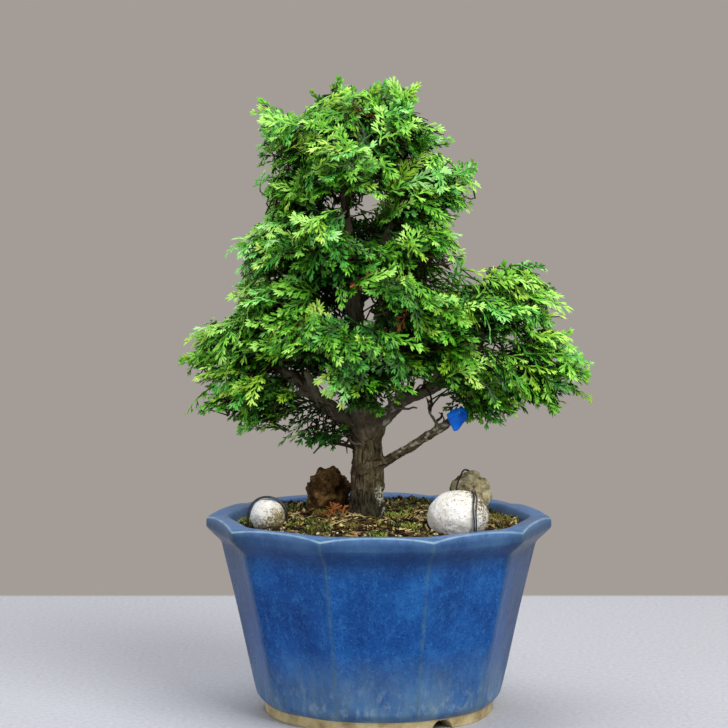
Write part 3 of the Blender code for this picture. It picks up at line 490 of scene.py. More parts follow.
def unit_ball(subdivisions):
    """Points and triangles of a unit icosphere."""
    bm = bmesh.new()
    bmesh.ops.create_icosphere(bm, subdivisions=subdivisions, radius=1.0)
    bm.verts.ensure_lookup_table()
    verts = np.array([tuple(v.co) for v in bm.verts])
    faces = np.array([[v.index for v in f.verts] for f in bm.faces])
    bm.free()
    return verts, faces


# ------------------------------------------------------------------ materials

def linear(colour):
    """Linear RGBA of an sRGB colour in bytes."""
    def channel(byte):
        value = byte / 255.0
        return value / 12.92 if value <= 0.04045 else ((value + 0.055) / 1.055) ** 2.4
    return [channel(c) for c in colour] + [1.0]


class Look:
    """A Principled material whose base colour is built up in layers of sRGB colours."""

    def __init__(self, name, roughness, specular, colour=(128, 128, 128)):
        self.material = bpy.data.materials.new(name)
        self.material.use_nodes = True
        self.tree = self.material.node_tree
        self.shader = self.tree.nodes["Principled BSDF"].inputs
        self.shader["Base Color"].default_value = linear(colour)
        self.shader["Roughness"].default_value = roughness
        self.shader["Specular IOR Level"].default_value = specular
        self.coords = self.base = None

    def feed(self, target, source):
        """Give an input a socket to follow, or a value."""
        if isinstance(source, bpy.types.NodeSocket):
            self.tree.links.new(source, target)
        else:
            target.default_value = source

    def node(self, kind, output, inputs, **settings):
        """One output of a new node."""
        made = self.tree.nodes.new("ShaderNode" + kind)
        for key, value in settings.items():
            setattr(made, key, value)
        for key, value in inputs.items():
            self.feed(made.inputs[key], value)
        return made.outputs[output]

    def place(self, stretch=(1.0, 1.0, 1.0)):
        """Object coordinates, stretched."""
        self.coords = self.coords or self.node("TexCoord", "Object", {})
        return self.node("Mapping", "Vector", {"Vector": self.coords, "Scale": stretch})

    def axis(self, name):
        """X, Y or Z in the frame, in metres."""
        return self.node("SeparateXYZ", name, {"Vector": self.place()})

    def attribute(self, name):
        return self.node("Attribute", "Fac", {}, attribute_name=name)

    def noise(self, feature_mm, detail=3.0, rough=0.5, stretch=(1.0, 1.0, 1.0)):
        """Noise with features of about this size."""
        return self.node("TexNoise", "Fac", {
            "Vector": self.place(stretch), "Scale": 1000.0 / feature_mm, "Detail": detail,
            "Roughness": rough})

    def maths(self, operation, a, b=0.0):
        return self.node("Math", "Value", {0: a, 1: b}, operation=operation)

    def times(self, a, b):
        return self.maths("MULTIPLY", a, b)

    def span(self, value, low, high, to_low=0.0, to_high=1.0):
        """Map a value's range to another, clamped."""
        return self.node("MapRange", "Result", {
            "Value": value, "From Min": low, "From Max": high, "To Min": to_low,
            "To Max": to_high})

    def ramp(self, value, *stops):
        """Start the base colour as a ramp from (position, colour) stops."""
        node = self.tree.nodes.new("ShaderNodeValToRGB")
        elements = node.color_ramp.elements
        while len(elements) < len(stops):
            elements.new(0.5)
        for element, (position, colour) in zip(elements, stops):
            element.position = position
            element.color = linear(colour)
        self.feed(node.inputs["Fac"], value)
        self.base = node.outputs["Color"]

    def layer(self, colour, factor, *spanned):
        """Lay a colour over the base by a factor, or by low, high and most of its range."""
        if spanned:
            low, high, most = spanned
            factor = self.span(factor, low, high, 0.0, most)
        self.base = self.node("Mix", 2, {"Factor": factor, 6: self.base, 7: linear(colour)},
                              data_type="RGBA")

    def bump(self, height, strength, depth_mm):
        """Fine relief from a height, over any already there."""
        normal = self.shader["Normal"]
        inputs = {"Strength": strength, "Distance": depth_mm * MM, "Height": height}
        if normal.links:
            inputs["Normal"] = normal.links[0].from_socket
        self.feed(normal, self.node("Bump", "Normal", inputs))

    def finished(self):
        """The material, its base colour linked."""
        self.feed(self.shader["Base Color"], self.base)
        return self.material


def glaze_look():
    """Cobalt glaze: mottled, speckled, pale where it breaks over an edge, hazed low down,
    with painted shade under the lip and on the end faces and a painted highlight along the rim.
    """
    look = Look("cobalt_glaze", 0.36, 0.09)
    height = look.axis("Z")
    aside = look.maths("ABSOLUTE", look.maths("SUBTRACT", look.axis("X"), AXIS[0]))
    cloud = look.noise(20.0, 4.0, 0.6)
    mottle = look.noise(2.6, 3.0, 0.65, (1.0, 1.0, 0.7))
    specks = look.noise(0.9, 2.0, 0.6)
    streak = look.noise(9.0, 3.0, 0.6, (1.0, 1.0, 0.25))
    chalk = look.noise(4.0, 4.0, 0.7, (1.0, 1.0, 0.6))
    broken = look.noise(5.0, 4.0, 0.7)
    look.ramp(cloud, (0.32, (16, 62, 128)), (0.55, (26, 82, 154)), (0.72, (38, 104, 176)))
    look.layer((54, 122, 188), mottle, 0.50, 0.74, 0.5)
    look.layer((84, 148, 200), specks, 0.60, 0.76, 0.4)
    look.layer((4, 22, 78), specks, 0.44, 0.30, 0.6)
    # Hazed and chalky low down, then painted shade under the lip and on the end faces.
    haze = look.times(look.span(height, 0.036, 0.004), look.span(streak, 0.34, 0.60, 0.25, 1.0))
    look.layer((108, 138, 154), look.times(haze, 0.8))
    chalk = look.times(look.span(chalk, 0.52, 0.66), look.span(height, 0.026, 0.010))
    look.layer((160, 178, 182), look.times(chalk, 0.3))
    look.layer((46, 64, 88), look.times(look.span(height, 0.066, 0.075), 0.4))
    look.layer((38, 54, 68), look.times(look.span(aside, 0.050, 0.060), 0.58))
    # The lip's edge and its top, then the pot's worn corners, and a painted highlight along the
    # rim.
    look.layer((74, 104, 134), look.times(look.span(height, 0.0774, 0.0796),
                                          look.span(cloud, 0.36, 0.62, 0.2, 0.58)))
    look.layer((92, 130, 186), look.times(look.span(height, 0.0820, 0.0846),
                                          look.span(mottle, 0.36, 0.62, 0.3, 0.7)))
    edge = look.times(look.attribute("edge"), look.span(broken, 0.30, 0.62))
    look.layer((84, 112, 104), look.times(edge, 0.75))
    look.layer((150, 184, 198), look.times(look.attribute("painted_rim_highlight"),
                                           look.span(streak, 0.32, 0.6, 0.35, 0.95)))
    look.feed(look.shader["Roughness"], look.span(mottle, 0.3, 0.8, 0.26, 0.44))
    look.bump(look.noise(3.0, 3.0, 0.6), 0.25, 0.25)
    look.bump(look.noise(18.0, 2.0, 0.5), 0.4, 0.6)
    return look.finished()


def clay_look():
    """Unglazed cream stoneware of the foot."""
    look = Look("bare_clay", 0.85, 0.3)
    grit = look.noise(0.7, 2.0, 0.6)
    look.ramp(look.noise(9.0, 4.0, 0.6), (0.3, (150, 132, 92)), (0.5, (196, 180, 134)),
              (0.7, (214, 202, 162)))
    look.layer((124, 100, 66), grit, 0.58, 0.72, 0.6)
    look.bump(grit, 0.4, 0.3)
    return look.finished()


def bark_look():
    """Grey-brown bark with painted shade in its furrows, and olive and pale lichen patches."""
    look = Look("conifer_bark", 0.9, 0.25)
    height = look.axis("Z")
    flake = look.noise(1.0, 3.0, 0.7, (1.0, 1.0, 0.5))
    look.ramp(look.noise(4.0, 4.0, 0.65, (1.0, 1.0, 0.3)), (0.34, (60, 52, 35)),
              (0.52, (90, 80, 57)), (0.70, (138, 128, 100)))
    look.layer((84, 86, 40), look.noise(11.0, 3.0, 0.6), 0.54, 0.68, 0.5)
    look.layer((96, 58, 32), look.noise(7.0, 3.0, 0.6, (1.3, 1.0, 0.7)), 0.60, 0.72, 0.5)
    look.layer((176, 168, 148), flake, 0.58, 0.74, 0.55)
    # Painted shade in the furrows, by their depth.
    look.layer((24, 19, 12), look.times(look.attribute("relief"), 0.92))
    # Greyer boughs, partly painted light that lifts them in the crown's shade; painted shade at
    # the trunk's foot; and the lichen.
    look.layer((130, 126, 110), look.times(look.span(height, 0.112, 0.145), 0.55))
    look.layer((24, 23, 14), look.times(look.span(height, 0.0995, 0.0915), 0.78))
    look.layer((190, 192, 174), look.attribute("lichen"))
    look.bump(look.noise(1.4, 4.0, 0.7, (1.0, 1.0, 0.4)), 0.7, 0.5)
    look.bump(flake, 0.4, 0.25)
    return look.finished()


def soil_look():
    """Damp soil between the bits of mulch."""
    look = Look("damp_soil", 0.95, 0.2)
    grain = look.noise(0.8, 3.0, 0.7)
    look.ramp(look.noise(6.0, 5.0, 0.65), (0.36, (16, 13, 7)), (0.52, (40, 33, 17)),
              (0.68, (82, 74, 34)))
    look.layer((136, 122, 70), grain, 0.58, 0.75, 0.7)
    look.bump(grain, 0.8, 0.6)
    look.bump(look.noise(2.6, 3.0, 0.6), 0.7, 1.0)
    return look.finished()


def ball_look(name, stained):
    """Chalky fertiliser ball, flecked tan and grey-brown, more so low and to one side."""
    look = Look(name, 0.9, 0.25)
    flecks, dust = look.noise(1.0, 3.0, 0.75), look.noise(7.0, 2.0, 0.6)
    stain = look.attribute("stain")
    level = look.maths("ADD", flecks, look.times(stain, 0.26))
    level = look.maths("ADD", level, look.times(look.span(dust, 0.4, 0.7), 0.04))
    look.ramp(look.noise(6.0, 3.0, 0.6), (0.3, (220, 218, 210)), (0.6, (242, 244, 244)))
    look.layer((176, 158, 124), level, 0.56, 0.66, 0.65)
    look.layer((80, 64, 44), level, 0.65, 0.71, 0.9)
    look.layer((126, 118, 72), look.times(stain, stained))
    look.bump(flecks, 0.5, 0.4)
    look.bump(look.noise(2.4, 3.0, 0.6), 0.5, 0.5)
    return look.finished()


def rock_look(name, dark, mid, pale, stained):
    """Rough lump: two earths with pale crumbs."""
    look = Look(name, 0.95, 0.2)
    crumbs = look.noise(1.0, 3.0, 0.7)
    look.ramp(look.noise(6.5, 5.0, 0.65), (0.36, dark), (0.52, mid), (0.66, pale))
    look.layer(pale, crumbs, 0.58, 0.72, 0.55)
    look.layer(dark, crumbs, 0.42, 0.30, 0.7)
    look.layer(dark, look.times(look.attribute("stain"), stained))
    look.bump(crumbs, 0.8, 0.7)
    look.bump(look.noise(3.2, 4.0, 0.65), 0.8, 1.2)
    return look.finished()


def wire_look():
    """Dark coated wire, scuffed."""
    look = Look("dark_wire", 0.45, 0.5)
    scuff = look.noise(2.0, 4.0, 0.7)
    look.ramp(scuff, (0.4, (22, 24, 27)), (0.62, (52, 55, 60)), (0.8, (104, 106, 108)))
    look.bump(scuff, 0.2, 0.1)
    return look.finished()


def tag_look():
    """Glossy blue plastic."""
    look = Look("blue_tag", 0.16, 0.25)
    look.ramp(look.noise(4.0, 3.0, 0.5), (0.3, (0, 92, 224)), (0.7, (14, 132, 250)))
    look.bump(look.noise(1.6, 2.0, 0.5), 0.25, 0.15)
    return look.finished()


def plain_looks(table, roughness, specular):
    """One base colour each, for small things dealt out by the piece."""
    return [Look(name, roughness, specular, colour).material for name, colour in table]


# ------------------------------------------------------------------ pot

SHARP, ROUNDEST = 140.0, 16.0    # how keen the pot's corners are, high up and at the bottom
ROUND_BELOW = 30
POT_AROUND = 480
SCALLOP = 1.85            # how far the lip's outer edge rises between two corners
LIP_HOLLOW = 0.7          # how far it draws in there


def rounded_profile(points, steps=3):
    """Profile with each corner rounded by its radius: points are (r, z, fillet)."""
    out = []
    for i, (r, z, fillet) in enumerate(points):
        here = Vector((r, z))
        before = Vector(points[i - 1][:2]) - here
        after = Vector(points[(i + 1) % len(points)][:2]) - here
        back = min(fillet, before.length * 0.45, after.length * 0.45)
        a, b = here + before.normalized() * back, here + after.normalized() * back
        for t in (k / steps for k in range(steps + 1)):
            out.append(tuple(a * (1 - t) ** 2 + here * 2 * t * (1 - t) + b * t * t))
    return out


def subdivided(profile, longest=4.0):
    """Closed profile with extra points on its long straights."""
    out = []
    for a, b in zip(profile, profile[1:] + profile[:1]):
        parts = max(1, math.ceil(math.dist(a, b) / longest))
        for t in (k / parts for k in range(parts)):
            out.append((a[0] + (b[0] - a[0]) * t, a[1] + (b[1] - a[1]) * t))
    return out


def ring_radius(turn, corner_r, sharpness=SHARP):
    """Radius of the ten-sided ring at an angle, its corners eased but as far out as ever."""
    lean = (turn - POT_TURN) % SECTOR - SECTOR / 2
    other = SECTOR - abs(lean)
    side = corner_r * math.cos(SECTOR / 2)
    power = (math.cos(lean) / side) ** sharpness + (math.cos(other) / side) ** sharpness
    return (power / 2) ** (-1 / sharpness)


def notch_height(turn, radius):
    """Height of the arch that a foot notch cuts at an angle, or zero."""
    top = 0.0
    for azimuth in NOTCH_AZIMUTHS:
        lean = (turn - math.radians(azimuth) + math.pi) % math.tau - math.pi
        aside = abs(lean) * radius
        if aside < NOTCH_R:
            top = max(top, math.sqrt(NOTCH_R ** 2 - aside ** 2) + NOTCH_Z)
    return top


def make_pot():
    """Ten-sided pot: body, cusped lip, bare foot ring with three arched notches."""
    lip_under = LIP_Z - LIP_EDGE
    profile = subdivided(rounded_profile((
        (LIP_IN_R, LIP_IN_Z + 0.4, 1.2), (LIP_R - 0.2, LIP_Z + 0.05, 0.9),
        (LIP_R - 0.1, lip_under + 0.3, 0.9), (BODY_TOP_R + 3.4, BODY_TOP_Z + 2.6, 1.0),
        (BODY_TOP_R, BODY_TOP_Z - 0.4, 1.4), (BODY_LOW_R, BODY_LOW_Z, 5.0),
        (BODY_LOW_R - 1.2, BODY_LOW_Z - 4.6, 1.5), (FOOT_R + 1.6, FOOT_H, 0.4),
        (FOOT_R + 0.9, FOOT_H - 0.5, 0.3), (FOOT_R + 0.6, 0.0, 0.5),
        (FOOT_IN_R, 0.0, 0.5), (FOOT_IN_R, FLOOR_UNDER_Z, 0.5), (DRAIN_R, FLOOR_UNDER_Z, 0.3),
        (DRAIN_R, FLOOR_Z, 0.3), (INNER_LOW_R, FLOOR_Z, 1.5), (INNER_TOP_R, INNER_TOP_Z, 1.5),
    )))
    verts, edge, painted_rim_highlight, slots = [], [], [], []
    for (r, z), (_, next_z) in zip(profile, profile[1:] + profile[:1]):
        slots += [int(max(z, next_z) <= FOOT_H - 0.1)] * POT_AROUND
        sharpness = SHARP if z > ROUND_BELOW else max(ROUNDEST, SHARP * (z / ROUND_BELOW) ** 1.6)
        sharpness -= 95.0 * clamp((z - 81.5) / 2) * clamp((71 - r) / 5)
        on_lip = clamp((z - 77.6) / 2.4) * (r > INNER_TOP_R + 1.5)
        outward = clamp((r - 66) / 9)
        for k in range(POT_AROUND):
            turn = POT_TURN + math.tau * k / POT_AROUND
            corner = abs((turn - POT_TURN) % SECTOR - SECTOR / 2) / (SECTOR / 2)
            arch = 1 - corner ** 2.6
            radius = ring_radius(turn, r, sharpness) - LIP_HOLLOW * arch * on_lip * outward
            height = z + SCALLOP * arch * outward * clamp((z - lip_under - 0.4) / 2.5)
            drift = noise.noise(Vector((*polar(radius, turn), z)) * 0.035)
            if z > FOOT_H and r > LIP_IN_R - 14:
                radius += 0.35 * drift
            if z < 2.0:
                height = max(height, notch_height(turn, radius))
            verts.append((*polar(radius, turn), height))
            away = (1 - corner) * r * math.sin(SECTOR / 2)
            line = math.exp(-(away / 0.6) ** 2) if z > FOOT_H + 2 and r > 50 else 0.0
            edge.append(line * 0.8)
            # A painted highlight: a pale line along the lip's outer top edge.
            painted_rim_highlight.append(math.exp(-(math.dist((r, z), (LIP_R - 0.45, LIP_Z - 0.2)) / 0.42) ** 2))
    faces = [(a, d, c, b) for a, b, c, d in bands(len(profile), POT_AROUND, closed=True)]
    pot = mesh_object("pot_glazed", verts, faces, [glaze_look(), clay_look()], slots)
    set_attribute(pot.data, "edge", edge)
    set_attribute(pot.data, "painted_rim_highlight", painted_rim_highlight)
    pot.data.set_sharp_from_angle(angle=math.radians(50))
    dress(pot, "glaze", "pot")


# ------------------------------------------------------------------ soil and what lies on it

TRUNK_FOOT, TRUNK_CLEAR, MOSS_CLEAR = (-5.0, 6.0), 11.0, 9.0
CHIPS, GRITS, MOSS_PATCHES, SPRIGS = 1900, 240, 44, 54    # how many of each lie about
RUSTY_SPRIGS = 7
SOIL_UNDER_Z = INNER_TOP_Z - 2.0


def soil_height(x, y):
    """Height of the soil's ten-sided dome at a place."""
    lean = (math.atan2(y, x) - POT_TURN) % SECTOR - SECTOR / 2
    corner_r = math.hypot(x, y) * math.cos(lean) / math.cos(SECTOR / 2)
    fall = (corner_r - SOIL_TOP_R) / (SOIL_EDGE_R - SOIL_TOP_R)
    return SOIL_TOP_Z - (SOIL_TOP_Z - SOIL_EDGE_Z) * max(0.0, fall)


def ground(x, y):
    """The soil's height with its hummocks and hollows, and a bank of moss at the back."""
    broad = noise.noise(Vector((x, y, 3.0)) * 0.09) * 1.1
    fine = noise.noise(Vector((x, y, 7.0)) * 0.42) * 0.7
    grain = noise.noise(Vector((x, y, 11.0)) * 1.3) * 0.35
    away, turn = math.hypot(x, y), math.degrees(math.atan2(y, x))
    ends = clamp(min((turn - 18) / 20, (162 - turn) / 20))
    uneven = 0.85 + 0.7 * noise.noise(Vector((x, y, 2.0)) * 0.16)
    bank = 2.7 * ends * uneven * math.exp(-((away - 53.0) / 5.5) ** 2)
    return soil_height(x, y) + (broad + fine + grain + bank)


def make_soil(around=240, rings=56):
    """Closed slab of soil with a rough top, inside the pot's wall."""
    turns = [math.tau * k / around for k in range(around)]
    verts = []
    for i in range(1, rings + 1):
        for turn in turns:
            x, y = polar(ring_radius(turn, SOIL_EDGE_R - 0.15) * i / rings, turn)
            verts.append((x, y, ground(x, y)))
    verts += [(*polar(ring_radius(turn, INNER_TOP_R - 0.4), turn), SOIL_UNDER_Z)
              for turn in turns]
    faces = [tri for a, b, c, d in bands(rings + 1, around) for tri in ((a, d, c), (a, c, b))]
    hub, last = len(verts), rings * around
    verts += [(0, 0, ground(0, 0)), (0, 0, SOIL_UNDER_Z)]
    for k in range(around):
        m = (k + 1) % around
        faces += [(hub, k, m), (hub + 1, last + m, last + k)]
    dress(mesh_object("soil_top", verts, faces, [soil_look()]), "soil", "soil")


def free_place(rng, keep_off=1.5):
    """A place on the soil clear of the trunk and of what lies there."""
    while True:
        turn = rng.uniform(0, math.tau)
        x, y = polar(ring_radius(turn, 61.5) * math.sqrt(rng.random()), turn)
        if math.dist((x, y), TRUNK_FOOT) < TRUNK_CLEAR:
            continue
        taken = (math.hypot(x - c[0], y - c[1]) < max(h[0], h[1]) + keep_off
                 for c, h in SOIL_LUMPS.values())
        if not any(taken):
            return x, y, ground(x, y)


def strew(name, batch, looks, roughness, specular, smooth=True):
    """Finish a batch of small things on the soil, each in one of some plain looks."""
    dress(batch.build(name, plain_looks(looks, roughness, specular), smooth), "soil")


def make_mulch():
    """Bark chips, straw and twig bits: small uneven splinters lying every way."""
    rng = random.Random(SEED + 1)
    looks = (("chip_dark", (28, 20, 12)), ("chip_brown", (70, 48, 27)),
             ("chip_rust", (116, 70, 32)), ("chip_tan", (158, 136, 84)),
             ("chip_straw", (204, 190, 130)), ("chip_olive", (88, 88, 36)))
    chances = (32, 24, 7, 11, 9, 17)
    batch = Batch()
    corners = np.array([(x, y, z) for x in (-1, 1) for y in (-1, 1) for z in (-1, 1)], float)
    quads = ((0, 1, 3, 2), (4, 6, 7, 5), (0, 4, 5, 1), (2, 3, 7, 6), (0, 2, 6, 4), (1, 5, 7, 3))
    tris = [t for a, b, c, d in quads for t in ((a, b, c), (a, c, d))]
    for _ in range(CHIPS):
        x, y, z = free_place(rng)
        long = rng.uniform(0.9, 3.2)
        shape = corners * (long, rng.uniform(0.18, 0.75), rng.uniform(0.12, 0.35))
        thinned = (1.0, rng.uniform(0.2, 1.0), rng.uniform(0.4, 1.0))
        shape *= np.where(shape[:, :1] > 0, thinned, 1.0)
        turn = (Matrix.Rotation(rng.uniform(0, TURN), 3, "Z")
                @ Matrix.Rotation(math.radians(rng.gauss(0, 24)), 3, "Y")
                @ Matrix.Rotation(math.radians(rng.uniform(-40, 40)), 3, "X"))
        shape = shape @ np.array(turn).T + (x, y, z + rng.uniform(0.0, 0.8))
        batch.add(shape, tris, rng.choices(range(len(looks)), chances)[0])
    strew("soil_mulch", batch, looks, 0.9, 0.25, smooth=False)


def make_gravel():
    """Pale grit lying among the mulch."""
    rng = random.Random(SEED + 2)
    looks = (("grit_pale", (200, 194, 174)), ("grit_tan", (160, 140, 98)),
             ("grit_grey", (112, 108, 92)))
    ball, tris = unit_ball(2)
    batch = Batch()
    for _ in range(GRITS):
        x, y, z = free_place(rng, 0.5)
        size = rng.uniform(0.35, 1.1)
        rough = [1 + 0.35 * noise.noise(Vector(p) * 1.6 + Vector((x, y, 0))) for p in ball]
        half = np.array((rng.uniform(0.8, 1.3), rng.uniform(0.7, 1.1), rng.uniform(0.6, 0.9)))
        shape = ball * np.array(rough)[:, None] * half * size
        batch.add(shape + (x, y, z + size * 0.35), tris, rng.choices((0, 1, 2), (3, 4, 4))[0])
    strew("soil_gravel", batch, looks, 0.85, 0.3)


def three_round(middle, wide, start, skew=0.0):
    """Three points round a middle, evenly apart."""
    turns = [start + k * THIRD + skew for k in range(3)]
    return [(middle[0] + wide * math.cos(a), middle[1] + wide * math.sin(a), middle[2])
            for a in turns]


def make_moss():
    """Moss: patches of short leafy stems, each a narrow blade."""
    rng = random.Random(SEED + 3)
    looks = (("moss_deep", (40, 48, 16)), ("moss_green", (76, 88, 28)),
             ("moss_bright", (122, 144, 48)), ("moss_olive", (112, 106, 48)))
    patches = [((6.5, -1.0), 4.5, 2), ((12.0, 4.0), 4.0, 2)]
    for _ in range(MOSS_PATCHES):
        x, y, _ = free_place(rng)
        patches.append(((x, y), rng.uniform(2.5, 7.0), rng.choice((0, 1, 1, 2, 3, 3))))
    for turn in range(24, 160, 8):
        spot = polar(rng.uniform(47, 57), math.radians(turn))
        patches.append((spot, rng.uniform(2.5, 5.0), rng.choice((0, 0, 0, 3))))
    faces = [(0, 1, 3), (1, 4, 3), (1, 2, 4), (2, 5, 4), (2, 0, 5), (0, 3, 5),
             (3, 4, 6), (4, 5, 6), (5, 3, 6)]
    batch = Batch()
    for (cx, cy), spread, kind in patches:
        for _ in range(int(spread * spread * 2.6)):
            turn, far = rng.uniform(0, TURN), spread * math.sqrt(rng.random())
            x, y = cx + far * math.cos(turn), cy + far * math.sin(turn)
            if ring_radius(math.atan2(y, x), 61.8) < math.hypot(x, y):
                continue
            if math.dist((x, y), TRUNK_FOOT) < MOSS_CLEAR:
                continue
            z = ground(x, y) + 0.8 * (1 - (far / spread) ** 2)
            tall = rng.uniform(0.7, 2.1)
            lean = Vector((rng.gauss(0, 0.45), rng.gauss(0, 0.45), 1.0)).normalized() * tall
            wide, a = rng.uniform(0.16, 0.34), rng.uniform(0, TURN)
            foot = three_round((x, y, z - 0.3), wide, a)
            waist = (x + lean.x * 0.55, y + lean.y * 0.55, z + lean.z * 0.55)
            mid = three_round(waist, wide * 1.5, a, 1.0)
            tip = (x + lean.x, y + lean.y, z + lean.z)
            shade = min(3, max(0, kind + rng.choice((-1, 0, 0, 0, 1)))) if kind < 3 else 3
            batch.add(foot + mid + [tip], faces, shade)
    strew("soil_moss", batch, looks, 0.7, 0.3)


def make_dead_twigs():
    """Dead sprigs left on the soil, with a rusty one beside the trunk."""
    rng = random.Random(SEED + 4)
    looks = (("sprig_rust", (150, 92, 46)), ("sprig_brown", (84, 60, 36)),
             ("sprig_straw", (182, 164, 112)))
    batch = Batch()
    starts = [(-21.0 + 1.3 * k, 2.0 - 1.5 * k, 0) for k in range(RUSTY_SPRIGS)]
    starts += [(*free_place(rng, 3.0)[:2], rng.choice((1, 1, 1, 2, 2)))
               for _ in range(SPRIGS)]
    for x, y, kind in starts:
        heading, rusty = rng.uniform(0, TURN), kind == 0
        if rusty:
            heading = rng.uniform(3.4, 5.6)
        long = rng.uniform(5, 9) if rusty else rng.uniform(4, 12)
        path = []
        for t in (k / 6 for k in range(7)):
            heading += rng.gauss(0, 0.16)
            px, py = x + math.cos(heading) * long * t, y + math.sin(heading) * long * t
            reach = ring_radius(math.atan2(py, px), 60.5) / max(1e-6, math.hypot(px, py))
            px, py = px * min(1.0, reach), py * min(1.0, reach)
            arch = 5.0 * (1 - t) ** 0.7 if rusty else 0.9 * math.sin(math.pi * t)
            path.append((px, py, ground(px, py) + 0.5 + arch))
        batch.add(*tube(path, [0.42 - 0.22 * k / 6 for k in range(7)], 5), kind)
        for start in path[2:6]:
            if rng.random() < 0.6:
                aside = heading + rng.choice((-1, 1)) * rng.uniform(0.5, 1.1)
                size = rng.uniform(1.5, 4.0)
                start = Vector(start)
                end = start + Vector((*polar(1.0, aside), 0.35)) * size
                batch.add(*tube((start, (start + end) / 2, end), (0.26, 0.2, 0.12), 4), kind)
    strew("soil_sprigs", batch, looks, 0.85, 0.25)


def make_lump(name, look, rough, grain, stain_from, stained=0.3, squash=1.0):
    """A ball or lump: an icosphere with relief, set down into the soil."""
    centre, half = SOIL_LUMPS[name]
    ball, tris = unit_ball(6)
    seed = Vector((len(name) * 3.1, half[0], 5.0))
    verts, stain = [], []
    toward = Vector(stain_from).normalized()
    for here in (Vector(p) for p in ball):
        swell = 1.0
        for octave in (1, 2, 4, 8):
            swell += rough / octave * noise.noise(here * grain * octave + seed)
        verts.append([c + p * h for c, p, h in zip(centre, here * swell * squash, half)])
        stain.append(clamp(stained + 0.8 * here.dot(toward)
                           + 0.4 * noise.noise(here * 2.3 + seed)))
    lump = mesh_object(name + "_rough", verts, tris, [look])
    set_attribute(lump.data, "stain", stain)
    dress(lump, name.split("_")[0], name)


def make_lumps():
    """Two chalky balls at the front and two rough lumps behind the trunk."""
    make_lump("ball_right", ball_look("ball_speckled", 0.1), 0.035, 2.2, (0.65, 0.6, 0.3), 0.2)
    make_lump("ball_left", ball_look("ball_chalky", 0.75), 0.06, 1.6, (0.8, -0.2, -0.9))
    brown = rock_look("lump_earth", (40, 28, 15), (100, 74, 42), (166, 132, 80), 0.6)
    make_lump("lump_brown", brown, 0.26, 2.2, (0.6, 0, -0.8), 0.0, 0.95)
    grey = rock_look("lump_stone", (66, 54, 30), (204, 194, 152), (248, 244, 222), 0.9)
    make_lump("lump_grey", grey, 0.2, 1.6, (-0.9, 0.1, -0.4), -0.05, 0.98)


def make_wires():
    """Wire staples over the balls and the grey lump; the right one is doubled."""
    look = wire_look()
    for name, held, azimuth, offset, radius in STAPLES:
        centre, half = Vector(SOIL_LUMPS[held][0]), SOIL_LUMPS[held][1]
        along = Vector((*polar(1.0, math.radians(azimuth)), 0))
        aside = Vector((-along.y, along.x, 0))
        shrink = math.sqrt(1 - (offset / half[0]) ** 2)
        clear = 2.0 * GAP + radius
        wide, tall = half[0] * shrink + clear, half[2] * shrink + clear
        strands, thick = (((-0.6, 0.6), radius * 0.62) if name == "wire_right"
                          else ((0.0,), radius * 0.85))
        batch = Batch()
        for strand in strands:
            middle = centre + aside * (offset + strand * radius * 1.7)
            path = []
            for a in (math.pi * k / 40 for k in range(41)):
                path.append(middle + along * wide * math.cos(a)
                            + Vector((0, 0, tall * math.sin(a)))
                            + aside * (0.25 * math.sin(5 * a + strand)))
            legs = []
            for end in (path[0], path[-1]):
                foot = Vector((end.x, end.y, soil_height(end.x, end.y) - 1.5))
                legs.append([end.lerp(foot, t) for t in (0.35, 0.7, 1.0)])
            path = legs[0][::-1] + path + legs[1]
            batch.add(*tube(path, [thick] * len(path), 10), 0)
        dress(batch.build(name + "_bent", [look]), "wire", name)


# ------------------------------------------------------------------ tag

TAG_RINGS = 9
TAG_LOOP_AT, TAG_LOOP_ALONG, TAG_LOOP_R = (36.6, -6.4, 130.2), (0.82, -0.1, 0.56), 2.3


def make_tag():
    """Folded blue strip: a bulged sheet that narrows to a point, and a loop round the twig."""
    turn = (Matrix.Translation(TAG_AT) @ Matrix.Rotation(math.radians(TAG_TILT[2]), 4, "Z")
            @ Matrix.Rotation(math.radians(TAG_TILT[0]), 4, "X"))
    corners = [Vector((*polar(far, math.radians(a)), 0.0)) for a, far in TAG_OUTLINE]
    outline = [corner.lerp(after, k / 6)
               for corner, after in zip(corners, corners[1:] + corners[:1]) for k in range(6)]
    soft = [(before + here * 2 + after) / 4 for before, here, after in
            zip(outline[-1:] + outline, outline, outline[1:] + outline[:1])]
    verts = []
    for side in (1, -1):
        for t in (i / TAG_RINGS for i in range(TAG_RINGS, 0, -1)):
            for x, y in ((p.x * t, p.y * t) for p in soft):
                fold = 0.55 * math.cos(x * 0.55 + 0.4) + 0.25 * math.sin(y * 0.9)
                bulge = 0.45 + 0.75 * (1 - t ** 3)
                verts.append(turn @ Vector((x, y, fold * (1 - t ** 4) * 0.8 + side * bulge * 0.6)))
        verts.append(turn @ Vector((0, 0, 0.44 + side * 0.72)))
    count = len(soft)
    hub, last, other = TAG_RINGS * count, (TAG_RINGS - 1) * count, TAG_RINGS * count + 1
    front = [tri for a, b, c, d in bands(TAG_RINGS, count) for tri in ((a, b, c), (a, c, d))]
    front += [(last + k, last + (k + 1) % count, hub) for k in range(count)]
    faces = front + [tuple(other + corner for corner in tri[::-1]) for tri in front]
    for k in range(count):
        m = (k + 1) % count
        faces += [(k, other + k, other + m), (k, other + m, m)]
    batch = Batch()
    batch.add([tuple(v) for v in verts], faces, 0)
    along = Vector(TAG_LOOP_ALONG).normalized()
    up = (UP - along * along.z).normalized()
    aside = along.cross(up)
    loop = []
    for a in (math.tau * k / 24 for k in range(25)):
        loop.append(Vector(TAG_LOOP_AT) + (up * math.cos(a) + aside * math.sin(a)) * TAG_LOOP_R
                    + along * 0.5 * math.sin(a))
    batch.add(*tube(loop, [0.75] * 25, 8), 0)
    dress(batch.build("tag_folded", [tag_look()]), "tag", "tag")


# ------------------------------------------------------------------ trunk and boughs

